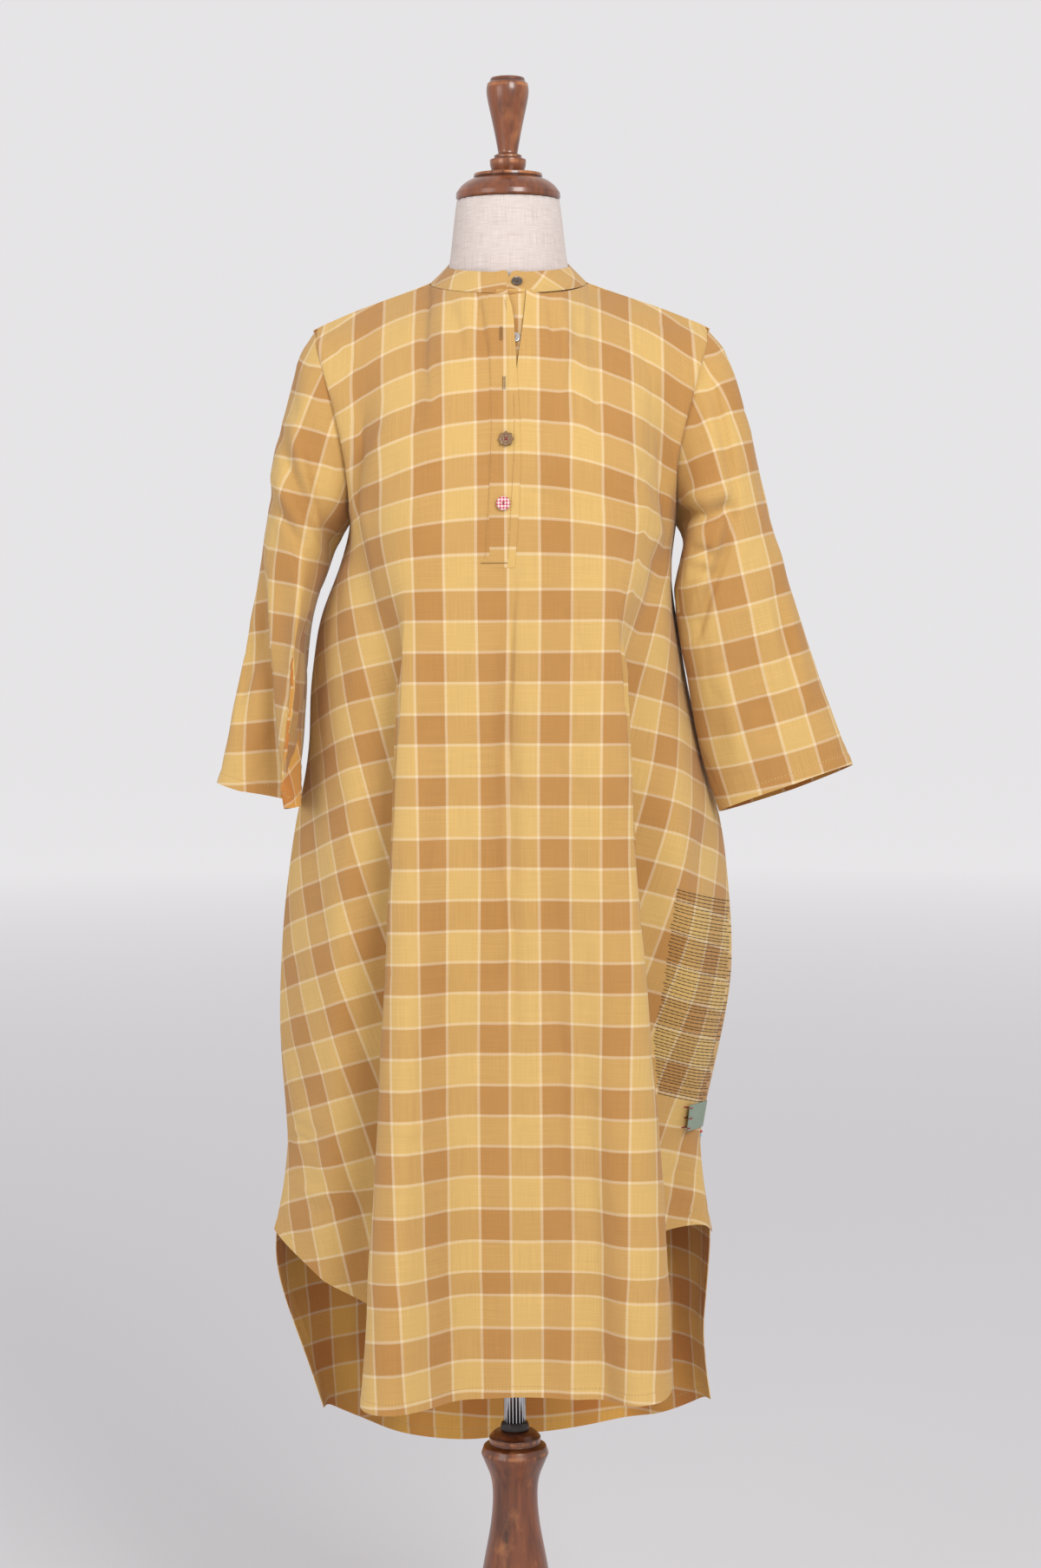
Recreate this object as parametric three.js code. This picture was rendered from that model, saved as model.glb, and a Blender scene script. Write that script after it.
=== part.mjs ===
// A band-collar kurta in woven check cotton, worn by a limbless dress form on a turned wooden tripod stand.
// Millimetres, +Z up. The origin is on the floor under the stand's pole, -Y is the front of the garment.
// The cloth pieces are walls of even thickness: each is a grid of points on the draped surface, moved inwards
// for the inner face. Heights, widths and folds come from the tables below.
import * as THREE from "three";
import { mergeVertices } from "three/addons/utils/BufferGeometryUtils.js";

// Rows of numbers under named columns, read as one object for each row.
const table = (names, rows) => rows.map((row) => Object.fromEntries(names.map((name, i) => [name, row[i]])));

// Driving sizes of the cloth.
const CLOTH = 1.5; // wall thickness of a cloth panel
const SEAM_GAP = 0.4; // clear space between two sewn panels
const LAY_GAP = 0.3; // clear space under a piece that lies on a panel
const UNDERARM_Z = 1325;
const VENT_TOP_Z = 611;
const SHOULDER_Y = 3; // the shoulder seam runs along this line, just behind the pole
const NECK_POINT = { x: 79, z: 1572 }; // where the shoulder seam meets the collar
const NECK_FRONT = { y: -80, z: 1555 };
const NECK_BACK = { y: 70, z: 1589 };
// Each armhole lies in a leaning plane, from the shoulder tip to the underarm. The cloth hangs 6 mm to the
// viewer's right on the form.
const ARMHOLE = {
  right: { tipX: 203, tipZ: 1525, underX: 168 },
  left: { tipX: 198, tipZ: 1525, underX: 163 },
};
const ARMHOLE_INSET = { front: 13, back: 5 }; // how far the armhole curves in towards the chest and back

// Rows and columns of the cloth grids.
const UPPER_ROWS = 8; // from the shoulder to the underarm
const LOWER_ROWS = 17; // from the underarm to the vent top, measured at the side seam
const VENT_ROWS = 5; // back panel only, from the vent top to its hem
const SLEEVE_ROWS = 12;
const FRONT_COLUMNS = [
  0, 0.03, 0.07, 0.12, 0.17, 0.22, 0.26, 0.3, 0.34, 0.38, 0.42, 0.46, 0.5, 0.535, 0.57, 0.61, 0.65, 0.7, 0.76,
  0.82, 0.88, 0.94, 1,
];
const BACK_COLUMNS = [0, 0.12, 0.25, 0.37, 0.48, 0.58, 0.68, 0.78, 0.86, 0.93, 1];

// Half sections of the front below the underarm, one row for each height. Both halves hang from the bust as a
// broad ridge. Its outer edge overlaps a groove, behind which the side of the panel runs out to the seam.
const FRONT_KNOTS = { centre: 0, mid: 0.2, ridge: 0.36, edge: 0.5, groove: 0.64, belly: 0.82, side: 1 };
const FRONT_SECTION = [
  "z", "centreY", "midX", "midY", "ridgeX", "ridgeY", "edgeX", "edgeY", "grooveX", "grooveY", "bellyX", "bellyY",
];
const FRONT_RIGHT = table(
  FRONT_SECTION,
  [
    [1325, -127, 50, -130, 93, -129, 126, -113, 146, -86, 162, -46],
    [1246, -129, 50, -132, 90, -134, 113, -123, 128, -98, 156, -57],
    [1160, -129, 50, -132, 90, -138, 115, -126, 117, -101, 154, -64],
    [1030, -129, 50, -132, 94, -143, 120, -128, 112, -100, 170, -72],
    [892, -128, 48, -131, 102, -149, 131, -129, 112, -88, 176, -64],
    [713, -127, 50, -131, 112, -153, 145, -127, 114, -74, 162, -42],
    [590, -127, 52, -130, 120, -157, 154, -129, 117, -72, 165, -34],
    [465, -127, 54, -130, 124, -161, 156, -134, 124, -82, 166, -38],
  ],
);
const FRONT_LEFT = table(
  FRONT_SECTION,
  [
    [1325, -127, 50, -130, 90, -129, 120, -113, 141, -86, 156, -46],
    [1246, -129, 50, -132, 86, -134, 108, -123, 128, -98, 167, -57],
    [1160, -129, 50, -132, 88, -139, 111, -127, 116, -102, 164, -66],
    [1030, -129, 50, -132, 92, -145, 117, -130, 109, -103, 166, -76],
    [892, -128, 48, -131, 97, -153, 125, -132, 108, -88, 177, -72],
    [713, -127, 48, -131, 105, -162, 134, -136, 105, -74, 180, -56],
    [590, -127, 50, -131, 112, -168, 143, -140, 112, -72, 186, -46],
    [465, -127, 52, -131, 117, -173, 151, -147, 121, -88, 186, -50],
  ],
);

// Half sections of the back, with a softer ridge under each shoulder blade.
const BACK_KNOTS = { centre: 0, mid: 0.26, ridge: 0.5, groove: 0.68, corner: 0.85, side: 1 };
const BACK_RIGHT = table(
  ["z", "centreY", "midX", "midY", "ridgeX", "ridgeY", "grooveX", "grooveY", "cornerX", "cornerY"],
  [
    [1325, 108, 52, 111, 104, 104, 138, 84, 162, 50],
    [1246, 106, 52, 111, 104, 108, 136, 86, 158, 52],
    [1160, 105, 52, 110, 106, 114, 138, 89, 168, 55],
    [1030, 104, 52, 110, 108, 121, 142, 93, 190, 59],
    [892, 102, 54, 110, 112, 127, 146, 96, 200, 62],
    [713, 101, 54, 110, 114, 132, 146, 102, 180, 64],
    [590, 100, 55, 111, 116, 135, 150, 106, 186, 68],
    [465, 100, 56, 112, 118, 136, 152, 108, 186, 80],
    [345, 100, 56, 112, 120, 136, 158, 112, 192, 92],
  ],
);
const BACK_LEFT = table(
  ["z", "centreY", "midX", "midY", "ridgeX", "ridgeY", "grooveX", "grooveY", "cornerX", "cornerY"],
  [
    [1325, 108, 52, 111, 100, 104, 131, 84, 153, 50],
    [1246, 106, 52, 111, 104, 108, 140, 86, 174, 52],
    [1160, 105, 52, 110, 106, 114, 142, 89, 184, 55],
    [1030, 104, 52, 110, 109, 121, 146, 93, 194, 60],
    [892, 102, 54, 111, 114, 128, 152, 98, 212, 66],
    [713, 101, 54, 112, 116, 134, 156, 104, 212, 70],
    [590, 100, 55, 113, 118, 137, 160, 108, 218, 74],
    [465, 100, 56, 114, 120, 138, 158, 112, 198, 86],
    [345, 100, 56, 114, 120, 138, 154, 116, 178, 94],
  ],
);

// The side seams, and the back's free edges below the vent tops.
const SEAM_RIGHT = table(["z", "x", "y"], [
  [1325, 168, 5],
  [1290, 163, 6],
  [1246, 167, 8],
  [1160, 181, 9],
  [1085, 199, 10],
  [1018, 215, 11],
  [926, 224, 12],
  [869, 224, 12],
  [811, 215, 13],
  [697, 193, 15],
  [611, 202, 15],
  [546, 200, 25],
  [502, 197, 36],
  [443, 201, 50],
  [345, 214, 66],
]);
const SEAM_LEFT = table(["z", "x", "y"], [
  [1325, 163, 5],
  [1290, 172, 6],
  [1246, 190, 8],
  [1170, 203, 9],
  [1098, 207, 10],
  [1018, 222, 11],
  [927, 234, 12],
  [818, 239, 13],
  [690, 233, 15],
  [611, 244, 15],
  [560, 245, 28],
  [504, 231, 42],
  [464, 219, 52],
  [413, 203, 60],
  [345, 186, 70],
]);

// Hem heights by column. The front hem is level to the edge of the ridge, then curves up to the vent top.
const FRONT_HEM_RIGHT = table(["u", "z"], [
  [0, 468],
  [0.36, 468],
  [0.5, 484],
  [0.64, 560],
  [0.82, 608],
  [1, VENT_TOP_Z],
]);
const FRONT_HEM_LEFT = table(["u", "z"], [
  [0, 468],
  [0.36, 463],
  [0.5, 467],
  [0.64, 500],
  [0.82, 560],
  [1, VENT_TOP_Z],
]);
const BACK_HEM_RIGHT = table(["u", "z"], [
  [0, 364],
  [0.26, 366],
  [0.5, 371],
  [0.68, 383],
  [0.85, 402],
  [1, 421],
]);
const BACK_HEM_LEFT = table(["u", "z"], [
  [0, 364],
  [0.26, 354],
  [0.5, 354],
  [0.68, 374],
  [0.85, 395],
  [1, 413],
]);

// Smaller folds of the front, as soft troughs (depth above 0) or ridges (below 0) that run down the cloth.
// u is the column at the top and bottom, width is the half width in columns.
const FRONT_FOLDS = table(["name", "topU", "bottomU", "topZ", "bottomZ", "width", "depth", "peak"], [
  ["pleat under the placket", 0.004, 0.0, 1287, 640, 0.034, 9, 0.35],
  ["fold inside the right ridge", 0.245, 0.275, 1010, 380, 0.032, 15, 0.9],
  ["dip inside the left ridge", -0.21, -0.2, 1050, 380, 0.06, 7, 0.9],
  ["fall from the collar, right", 0.17, 0.15, 1560, 1370, 0.04, -3, 0.35],
  ["fall from the collar, left", -0.2, -0.19, 1560, 1380, 0.045, -3, 0.35],
  ["pull to the right underarm", 0.8, 0.66, 1440, 1170, 0.05, 7, 0.5],
  ["pull to the left underarm", -0.8, -0.66, 1440, 1170, 0.05, 7, 0.5],
]);
const BACK_FOLDS = table(["name", "topU", "bottomU", "topZ", "bottomZ", "width", "depth", "peak"], [
  ["right yoke fall", 0.3, 0.34, 1380, 300, 0.07, 5, 0.8],
  ["left yoke fall", -0.3, -0.33, 1380, 300, 0.07, 5, 0.8],
]);

// Smooth curve through the rows of a table: the value of one column at a key such as a height.
function along(table, key, at, column) {
  const down = table[0][key] > table[table.length - 1][key];
  const rows = down ? [...table].reverse() : table;
  const last = rows.length - 1;
  const x = Math.min(Math.max(at, rows[0][key]), rows[last][key]);
  let i = 0;
  while (i < last - 1 && rows[i + 1][key] < x) i += 1;
  const slope = (k) => {
    const a = rows[Math.max(k - 1, 0)];
    const b = rows[Math.min(k + 1, last)];
    return (b[column] - a[column]) / (b[key] - a[key]);
  };
  const span = rows[i + 1][key] - rows[i][key];
  const s = (x - rows[i][key]) / span;
  return hermite(s, rows[i][column], slope(i) * span, rows[i + 1][column], slope(i + 1) * span);
}

function hermite(s, p0, m0, p1, m1) {
  const s2 = s * s;
  const s3 = s2 * s;
  return p0 * (2 * s3 - 3 * s2 + 1) + m0 * (s3 - 2 * s2 + s) + p1 * (3 * s2 - 2 * s3) + m1 * (s3 - s2);
}

function smooth(low, high, value) {
  const s = Math.min(Math.max((value - low) / (high - low), 0), 1);
  return s * s * (3 - 2 * s);
}

const mix = (a, b, s) => a + (b - a) * s;

const PANELS = {
  front: {
    sign: -1,
    knots: FRONT_KNOTS,
    neck: NECK_FRONT,
    inset: ARMHOLE_INSET.front,
    folds: FRONT_FOLDS,
    lowestSide: VENT_TOP_Z,
    right: { sections: FRONT_RIGHT, hem: FRONT_HEM_RIGHT, seam: SEAM_RIGHT },
    left: { sections: FRONT_LEFT, hem: FRONT_HEM_LEFT, seam: SEAM_LEFT },
  },
  back: {
    sign: 1,
    knots: BACK_KNOTS,
    neck: NECK_BACK,
    inset: ARMHOLE_INSET.back,
    folds: BACK_FOLDS,
    lowestSide: 0,
    right: { sections: BACK_RIGHT, hem: BACK_HEM_RIGHT, seam: SEAM_RIGHT },
    left: { sections: BACK_LEFT, hem: BACK_HEM_LEFT, seam: SEAM_LEFT },
  },
};
const sideName = (side) => (side > 0 ? "right" : "left");

// The named points of one half section at a height, from the centre line to the side seam.
function halfSection(panel, z, side) {
  const { sections, seam } = panel[sideName(side)];
  return Object.entries(panel.knots).map(([name, u]) => {
    if (name === "side") {
      const height = Math.max(z, panel.lowestSide);
      return { u: side, x: side * along(seam, "z", height, "x"), y: along(seam, "z", height, "y") };
    }
    const x = name === "centre" ? 0 : side * along(sections, "z", z, `${name}X`);
    return { u: u * side, x, y: along(sections, "z", z, `${name}Y`) };
  });
}

// A point of a panel's horizontal section at height z. The section is a smooth curve through its named
// points. It leaves the side seam straight towards the other panel, so that the two meet without a corner.
const SEAM_RUN = 150; // strength of the tangent at the side seam
function sectionPoint(panel, u, z) {
  const points = [...halfSection(panel, z, -1).reverse(), ...halfSection(panel, z, 1).slice(1)];
  const last = points.length - 1;
  let i = 0;
  while (i < last - 1 && points[i + 1].u < u) i += 1;
  const slope = (k, axis) => {
    if (k === 0 || k === last) return axis === "y" ? (k === 0 ? 1 : -1) * panel.sign * SEAM_RUN : 0;
    const a = points[k - 1];
    const b = points[k + 1];
    return (b[axis] - a[axis]) / (b.u - a.u);
  };
  const span = points[i + 1].u - points[i].u;
  const s = (u - points[i].u) / span;
  return ["x", "y"].map((axis) =>
    hermite(s, points[i][axis], slope(i, axis) * span, points[i + 1][axis], slope(i + 1, axis) * span),
  );
}

// How far the small folds push a point in or out of the cloth.
function foldDepth(panel, u, z) {
  let depth = 0;
  for (const fold of panel.folds) {
    const fall = (fold.topZ - z) / (fold.topZ - fold.bottomZ);
    if (fall <= 0 || fall >= 1) continue;
    const strength = smooth(0, fold.peak, fall) * (1 - smooth(fold.peak, 1, fall));
    const off = (u - mix(fold.topU, fold.bottomU, fall)) / fold.width;
    depth += fold.depth * strength * Math.exp(-off * off);
  }
  return depth;
}

// The upper edge of a panel: half the neckline, then the shoulder seam out to its tip.
const NECK_U = 0.36;
const SHOULDER_RISE = 4; // the seam bows up a little over the shoulder
function upperEdge(panel, u) {
  const side = Math.sign(u) || 1;
  const out = Math.abs(u);
  if (out <= NECK_U) {
    const turn = ((out / NECK_U) * Math.PI) / 2;
    const away = Math.cos(turn);
    const y = mix(SHOULDER_Y, panel.neck.y, away);
    return [side * NECK_POINT.x * Math.sin(turn), y, mix(NECK_POINT.z, panel.neck.z, away)];
  }
  const { tipX, tipZ } = ARMHOLE[sideName(side)];
  const s = (out - NECK_U) / (1 - NECK_U);
  const rise = SHOULDER_RISE * s * Math.sin(Math.PI * s);
  return [side * mix(NECK_POINT.x, tipX, s), SHOULDER_Y, mix(NECK_POINT.z, tipZ, s) + rise];
}

// How far the armhole's plane is from the centre at a height.
function armholeX(side, z) {
  const { tipX, tipZ, underX } = ARMHOLE[sideName(side)];
  return mix(underX, tipX, (z - UNDERARM_Z) / (tipZ - UNDERARM_Z));
}

// How the cloth falls between its upper edge and the underarm, at the neck, the shoulder and the armhole:
// reach is how far it carries on from the edge, forward and down, and landing how straight it then falls.
const FALL = {
  neck: { reach: 200, forward: 0.5, down: 0.86, landing: 240, inward: 0 },
  shoulder: { reach: 330, forward: 0.86, down: 0.5, landing: 240, inward: 0 },
  rim: { reach: 205, forward: 0.9, down: 0.42, landing: 95, inward: 235 },
};
// Columns from which a panel takes on its armhole's shape.
const RIM_U = { inset: 0.5, from: 0.72, plane: 0.85, full: 0.92 };
const INSET_PEAK = 0.65; // where between shoulder tip and underarm the armhole curves in most
function upperPoint(panel, u, s) {
  const out = Math.abs(u);
  const side = Math.sign(u) || 1;
  const top = upperEdge(panel, u);
  const [x, y] = sectionPoint(panel, u, UNDERARM_Z);
  const rim = smooth(RIM_U.from, 1, out);
  const shoulder = smooth(0, NECK_U, out);
  const fall = (name) => mix(mix(FALL.neck[name], FALL.shoulder[name], shoulder), FALL.rim[name], rim);
  const point = [
    hermite(s, top[0], 0, x, 0),
    hermite(s, top[1], panel.sign * fall("reach") * fall("forward"), y, -panel.sign * fall("inward")),
    hermite(s, top[2], -fall("reach") * fall("down"), UNDERARM_Z, -fall("landing")),
  ];
  const inset = side * panel.inset * smooth(0, INSET_PEAK, s) * (1 - smooth(INSET_PEAK, 1, s));
  point[0] -= inset * smooth(RIM_U.inset, RIM_U.full, out);
  point[0] = mix(point[0], side * armholeX(side, point[2]) - inset, smooth(RIM_U.plane, 1, out));
  return point;
}

// A point of a panel: u runs from the left side (-1) to the right (1), t from the upper edge (0) past the
// underarm (1) to the hem or vent top (2), and on the back panel down to its hem (3).
function panelPoint(panel, u, t) {
  if (t < 1) return upperPoint(panel, u, t);
  const hem = along(panel[sideName(u)].hem, "u", Math.abs(u), "z");
  const isBack = panel.sign > 0;
  const z = t > 2 ? mix(VENT_TOP_Z, hem, t - 2) : mix(UNDERARM_Z, isBack ? VENT_TOP_Z : hem, t - 1);
  return [...sectionPoint(panel, u, z), z];
}

const vector = (p) => new THREE.Vector3(p[0], p[1], p[2]);
const STEP = 1e-3;

// The unit vector that points out of the cloth at a point of a panel.
function panelNormal(panel, u, t) {
  const most = panel.sign > 0 ? 3 : 2;
  const clampT = (v) => Math.min(Math.max(v, 0), most);
  const clampU = (v) => Math.min(Math.max(v, -1), 1);
  const at = (column, row) => vector(panelPoint(panel, clampU(column), clampT(row)));
  const across = at(u + STEP, t).sub(at(u - STEP, t));
  const down = at(u, t + STEP).sub(at(u, t - STEP));
  return down.cross(across).multiplyScalar(-panel.sign).normalize();
}

// The finished outer face of a panel: the draped surface with its small folds, raised by a chosen amount.
const FOLD_END = 0.9; // the small folds die away from this column to the seam
function clothPoint(panel, u, t, raise = 0) {
  const base = vector(panelPoint(panel, u, t));
  const depth = foldDepth(panel, u, base.z) * (1 - smooth(FOLD_END, 1, Math.abs(u)));
  return base.addScaledVector(panelNormal(panel, u, t), raise - depth);
}

// A wall of even thickness: an outer sheet of points joined by four-cornered faces, an inner sheet moved
// inwards, and a rim along every free edge. Corner vectors replace the wall direction where pieces meet.
function wall(points, faces, thickness, corners = new Map()) {
  const count = points.length;
  const normals = points.map(() => new THREE.Vector3());
  for (const f of faces) {
    const n = points[f[2]].clone().sub(points[f[0]]).cross(points[f[3]].clone().sub(points[f[1]]));
    f.forEach((i) => normals[i].add(n));
  }
  normals.forEach((n, i) => (corners.has(i) ? n.copy(corners.get(i)) : n.normalize()));
  const all = [...points, ...points.map((p, i) => p.clone().addScaledVector(normals[i], -thickness))];
  const index = [];
  const quad = (a, b, c, d) => index.push(a, b, c, a, c, d);
  const edges = new Map();
  for (const f of faces) {
    quad(f[0], f[1], f[2], f[3]);
    quad(f[3] + count, f[2] + count, f[1] + count, f[0] + count);
    f.forEach((a, k) => edges.set(`${a},${f[(k + 1) % 4]}`, [a, f[(k + 1) % 4]]));
  }
  for (const [a, b] of edges.values()) {
    if (!edges.has(`${b},${a}`)) quad(b, a, a + count, b + count);
  }
  return solid(all, index);
}

function solid(points, index) {
  const geometry = new THREE.BufferGeometry();
  const numbers = points.flatMap((p) => [p.x, p.y, p.z]);
  geometry.setAttribute("position", new THREE.Float32BufferAttribute(numbers, 3));
  geometry.setIndex(index);
  geometry.computeVertexNormals();
  return geometry;
}

// Faces of a grid of rows and columns, seen from outside with the rows running down and columns to the right.
function gridFaces(rows, columns, closed = false) {
  const faces = [];
  const across = closed ? columns : columns - 1;
  for (let r = 0; r < rows - 1; r += 1) {
    for (let c = 0; c < across; c += 1) {
      const next = (c + 1) % columns;
      faces.push([r * columns + c, (r + 1) * columns + c, (r + 1) * columns + next, r * columns + next]);
    }
  }
  return faces;
}

const steps = (count, from, to) => Array.from({ length: count + 1 }, (_, i) => mix(from, to, i / count));
const bothSides = (columns) => [...columns.slice(1).reverse().map((u) => -u), ...columns];

const UPPER_T = steps(UPPER_ROWS, 0, 1);
const BODY_T = [...UPPER_T, ...steps(LOWER_ROWS, 1, 2).slice(1)];
const BACK_T = [...BODY_T, ...steps(VENT_ROWS, 2, 3).slice(1)];

// Square to the armhole's plane, pointing out of the body.
function armholeLean(side) {
  const { tipX, tipZ, underX } = ARMHOLE[sideName(side)];
  return new THREE.Vector3(side * (tipZ - UNDERARM_Z), 0, underX - tipX).normalize();
}

// The wall direction along a seam, which both pieces share.
const SHOULDER_SLOPE = 0.35;
function seamNormal(panel, u, t) {
  const side = Math.sign(u);
  if (Math.abs(u) === 1 && t < 1) return armholeOutward(side, panel, t);
  if (Math.abs(u) === 1) return new THREE.Vector3(side, 0, 0);
  const onShoulder = t === 0 && Math.abs(u) > NECK_U;
  return onShoulder ? new THREE.Vector3(side * SHOULDER_SLOPE, 0, 1).normalize() : null;
}

function armholeOutward(side, panel, t) {
  const middleZ = (ARMHOLE[sideName(side)].tipZ + UNDERARM_Z) / 2;
  const middle = new THREE.Vector3(side * armholeX(side, middleZ), SHOULDER_Y, middleZ);
  const lean = armholeLean(side);
  const out = vector(panelPoint(panel, side, t)).sub(middle);
  return out.addScaledVector(lean, -out.dot(lean)).normalize();
}

// Moves a point of a panel's free edge back from its seam by half the gap.
function partFromSeam(panel, point, u, t) {
  const onSide = Math.abs(u) === 1;
  const onShoulder = t === 0 && Math.abs(u) > NECK_U - STEP;
  if (onSide && t <= 1) point.addScaledVector(armholeLean(u), -SEAM_GAP / 2);
  if ((onSide && t >= 1) || onShoulder) point.y += (panel.sign * SEAM_GAP) / 2;
  if (t === 0 && !onShoulder) point.z -= SEAM_GAP;
  return point;
}

// The neck slit opens as a narrow wedge at the top of the placket.
const SLIT = { endT: 0.62, left: 3, right: 19, spread: 0.3 };
function slitShift(u, t, side) {
  const open = 1 - Math.min(t / SLIT.endT, 1);
  const near = 1 - smooth(0, SLIT.spread, Math.abs(u));
  return (side < 0 ? -SLIT.left : SLIT.right) * open * near;
}

function panelWall(panel, columns, rowsT, slit) {
  const us = bothSides(columns);
  const middle = columns.length - 1;
  const points = [];
  const corners = new Map();
  const put = (u, t, side) => {
    const point = partFromSeam(panel, clothPoint(panel, u, t), u, t);
    if (slit) point.x += slitShift(u, t, side);
    const shared = seamNormal(panel, u, t);
    if (shared) corners.set(points.length, shared);
    points.push(point);
  };
  rowsT.forEach((t) => us.forEach((u, c) => put(u, t, c < middle || (c === middle && slit) ? -1 : 1)));
  const faces = gridFaces(rowsT.length, us.length);
  if (slit) {
    const openRows = rowsT.filter((t) => t < SLIT.endT).length;
    const twin = new Map();
    for (let r = 0; r < openRows; r += 1) {
      twin.set(r * us.length + middle, points.length);
      put(0, rowsT[r], 1);
    }
    for (const face of faces) {
      const right = face.some((i) => i % us.length === middle + 1);
      if (right) face.forEach((i, k) => (face[k] = twin.get(i) ?? i));
    }
  }
  if (panel.sign > 0) faces.forEach((face) => face.reverse());
  return wall(points, faces, CLOTH, corners);
}

// Sleeves: one row for each ring from the armhole to the cuff. outer and inner are the upper and lower
// lines of the sleeve. midY is where these lie in Y, and front and back are the ring's reach from there.
// tilt lowers the back of the ring and raises its front. fin is a fold that stands forward of the ring.
const SLEEVE_RIGHT = table(
  ["s", "outerX", "outerZ", "innerX", "innerZ", "midY", "front", "back", "tilt", "fin"],
  [
    [0, 203, 1525, 168, 1325, 4, -62, 60, 0, 0],
    [0.05, 213, 1511, 176, 1318, -3, -60, 64, 0, 1],
    [0.12, 225, 1482, 177, 1300, -13, -55, 71, 0, 3],
    [0.24, 242, 1420, 173, 1264, -27, -40, 80, 1, 7],
    [0.36, 254, 1368, 176, 1228, -28, -34, 76, 2, 7],
    [0.5, 271, 1303, 185, 1182, -25, -36, 68, 3, 5],
    [0.65, 291, 1234, 193, 1133, -21, -37, 57, 4, 2],
    [0.82, 317, 1160, 204, 1086, -18, -36, 46, 5, 0],
    [1, 345, 1086, 220, 1040, -16, -33, 33, 6, 0],
  ],
);
const SLEEVE_LEFT = table(
  ["s", "outerX", "outerZ", "innerX", "innerZ", "midY", "front", "back", "tilt", "fin"],
  [
    [0, 198, 1525, 163, 1325, 4, -62, 60, 0, 0],
    [0.05, 207, 1511, 172, 1317, 4, -64, 60, 0, 1],
    [0.12, 218, 1478, 181, 1296, 3, -63, 60, 0, 4],
    [0.24, 236, 1410, 196, 1262, 2, -58, 58, 0, 12],
    [0.36, 242, 1358, 204, 1234, 2, -52, 56, 0, 24],
    [0.5, 253, 1293, 209, 1200, 2, -44, 52, 0, 36],
    [0.65, 266, 1228, 211, 1160, 2, -36, 48, 0, 46],
    [0.82, 282, 1152, 216, 1104, 2, -28, 44, 0, 54],
    [1, 299, 1070, 223, 1046, 2, -22, 40, 0, 60],
  ],
);
const SLEEVES = {
  right: { table: SLEEVE_RIGHT, side: 1, finTurn: 0.62, finWidth: 0.3 },
  left: { table: SLEEVE_LEFT, side: -1, finTurn: 0.76, finWidth: 0.15 },
};

// A plain oval ring from one row of values: turn 0 is the outer line, 1 the inner line, and 2 the outer line
// again by way of the back.
function ovalRing(sleeve, row, turn) {
  const angle = Math.PI * turn;
  const share = (1 + Math.cos(angle)) / 2;
  const off = (turn - sleeve.finTurn) / sleeve.finWidth;
  const reach = turn < 1 ? row.front : row.back;
  const rise = row.tilt * Math.sin(angle);
  return new THREE.Vector3(
    sleeve.side * mix(row.innerX, row.outerX, share),
    row.midY + reach * Math.abs(Math.sin(angle)) - row.fin * Math.exp(-off * off),
    mix(row.innerZ, row.outerZ, share) + rise,
  );
}

// A point of a sleeve. Near the armhole the rings take the armhole's own curve.
const ARMHOLE_REACH = 0.3;
function sleevePoint(sleeve, turn, s) {
  const names = Object.keys(sleeve.table[0]).filter((name) => name !== "s");
  const row = Object.fromEntries(names.map((name) => [name, along(sleeve.table, "s", s, name)]));
  const ring = ovalRing(sleeve, row, turn);
  const panel = turn < 1 ? PANELS.front : PANELS.back;
  const edge = vector(panelPoint(panel, sleeve.side, turn < 1 ? turn : 2 - turn));
  const hole = edge.add(ring).sub(ovalRing(sleeve, sleeve.table[0], turn));
  return hole.lerp(ring, smooth(0, ARMHOLE_REACH, s));
}

function sleeveWall(sleeve) {
  const around = 2 * UPPER_ROWS;
  const turns = steps(around, 0, 2).slice(0, -1);
  const points = [];
  const corners = new Map();
  for (const s of steps(SLEEVE_ROWS, 0, 1)) {
    for (const turn of turns) {
      const point = sleevePoint(sleeve, turn, s);
      if (s === 0) {
        const panel = turn < 1 ? PANELS.front : PANELS.back;
        point.addScaledVector(armholeLean(sleeve.side), SEAM_GAP / 2);
        corners.set(points.length, armholeOutward(sleeve.side, panel, turn < 1 ? turn : 2 - turn));
      }
      points.push(point);
    }
  }
  const faces = gridFaces(SLEEVE_ROWS + 1, around, true);
  if (sleeve.side > 0) faces.forEach((face) => face.reverse());
  return wall(points, faces, CLOTH, corners);
}

// Collar: a standing band that leans in from the neckline to the neck, with rounded front ends.
const COLLAR = {
  thickness: 2,
  columns: 34,
  rows: 3,
  foot: 0.04, // share of its height that the band starts above the neckline
  topX: 62.3,
  topFront: -62.3,
  topBack: 62.3,
  riseFront: 23,
  riseSide: 17,
  riseBack: 24,
  endLeft: 3,
  endRight: 4,
  endRound: 9,
  endDrop: 0.55, // share of its height that the band loses at its rounded ends
  bunching: 0.035, // brings the columns closer together at the ends and at the back
};
// turn 0 is the front, 0.5 the right side, 1 the back and 1.5 the left side.
function collarPoint(turn, v) {
  const signed = turn > 1 ? turn - 2 : turn;
  const atFront = Math.abs(signed) <= 0.5;
  const u = 2 * NECK_U * (atFront ? signed : Math.sign(signed) - signed);
  const base = vector(upperEdge(atFront ? PANELS.front : PANELS.back, u));
  const across = Math.sin(Math.PI * signed);
  const ahead = Math.cos(Math.PI * signed);
  const rise = mix(COLLAR.riseSide, atFront ? COLLAR.riseFront : COLLAR.riseBack, Math.abs(ahead));
  const topY = (atFront ? COLLAR.topFront : -COLLAR.topBack) * ahead;
  return base.lerp(new THREE.Vector3(COLLAR.topX * across, topY, base.z + rise), v);
}

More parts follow.
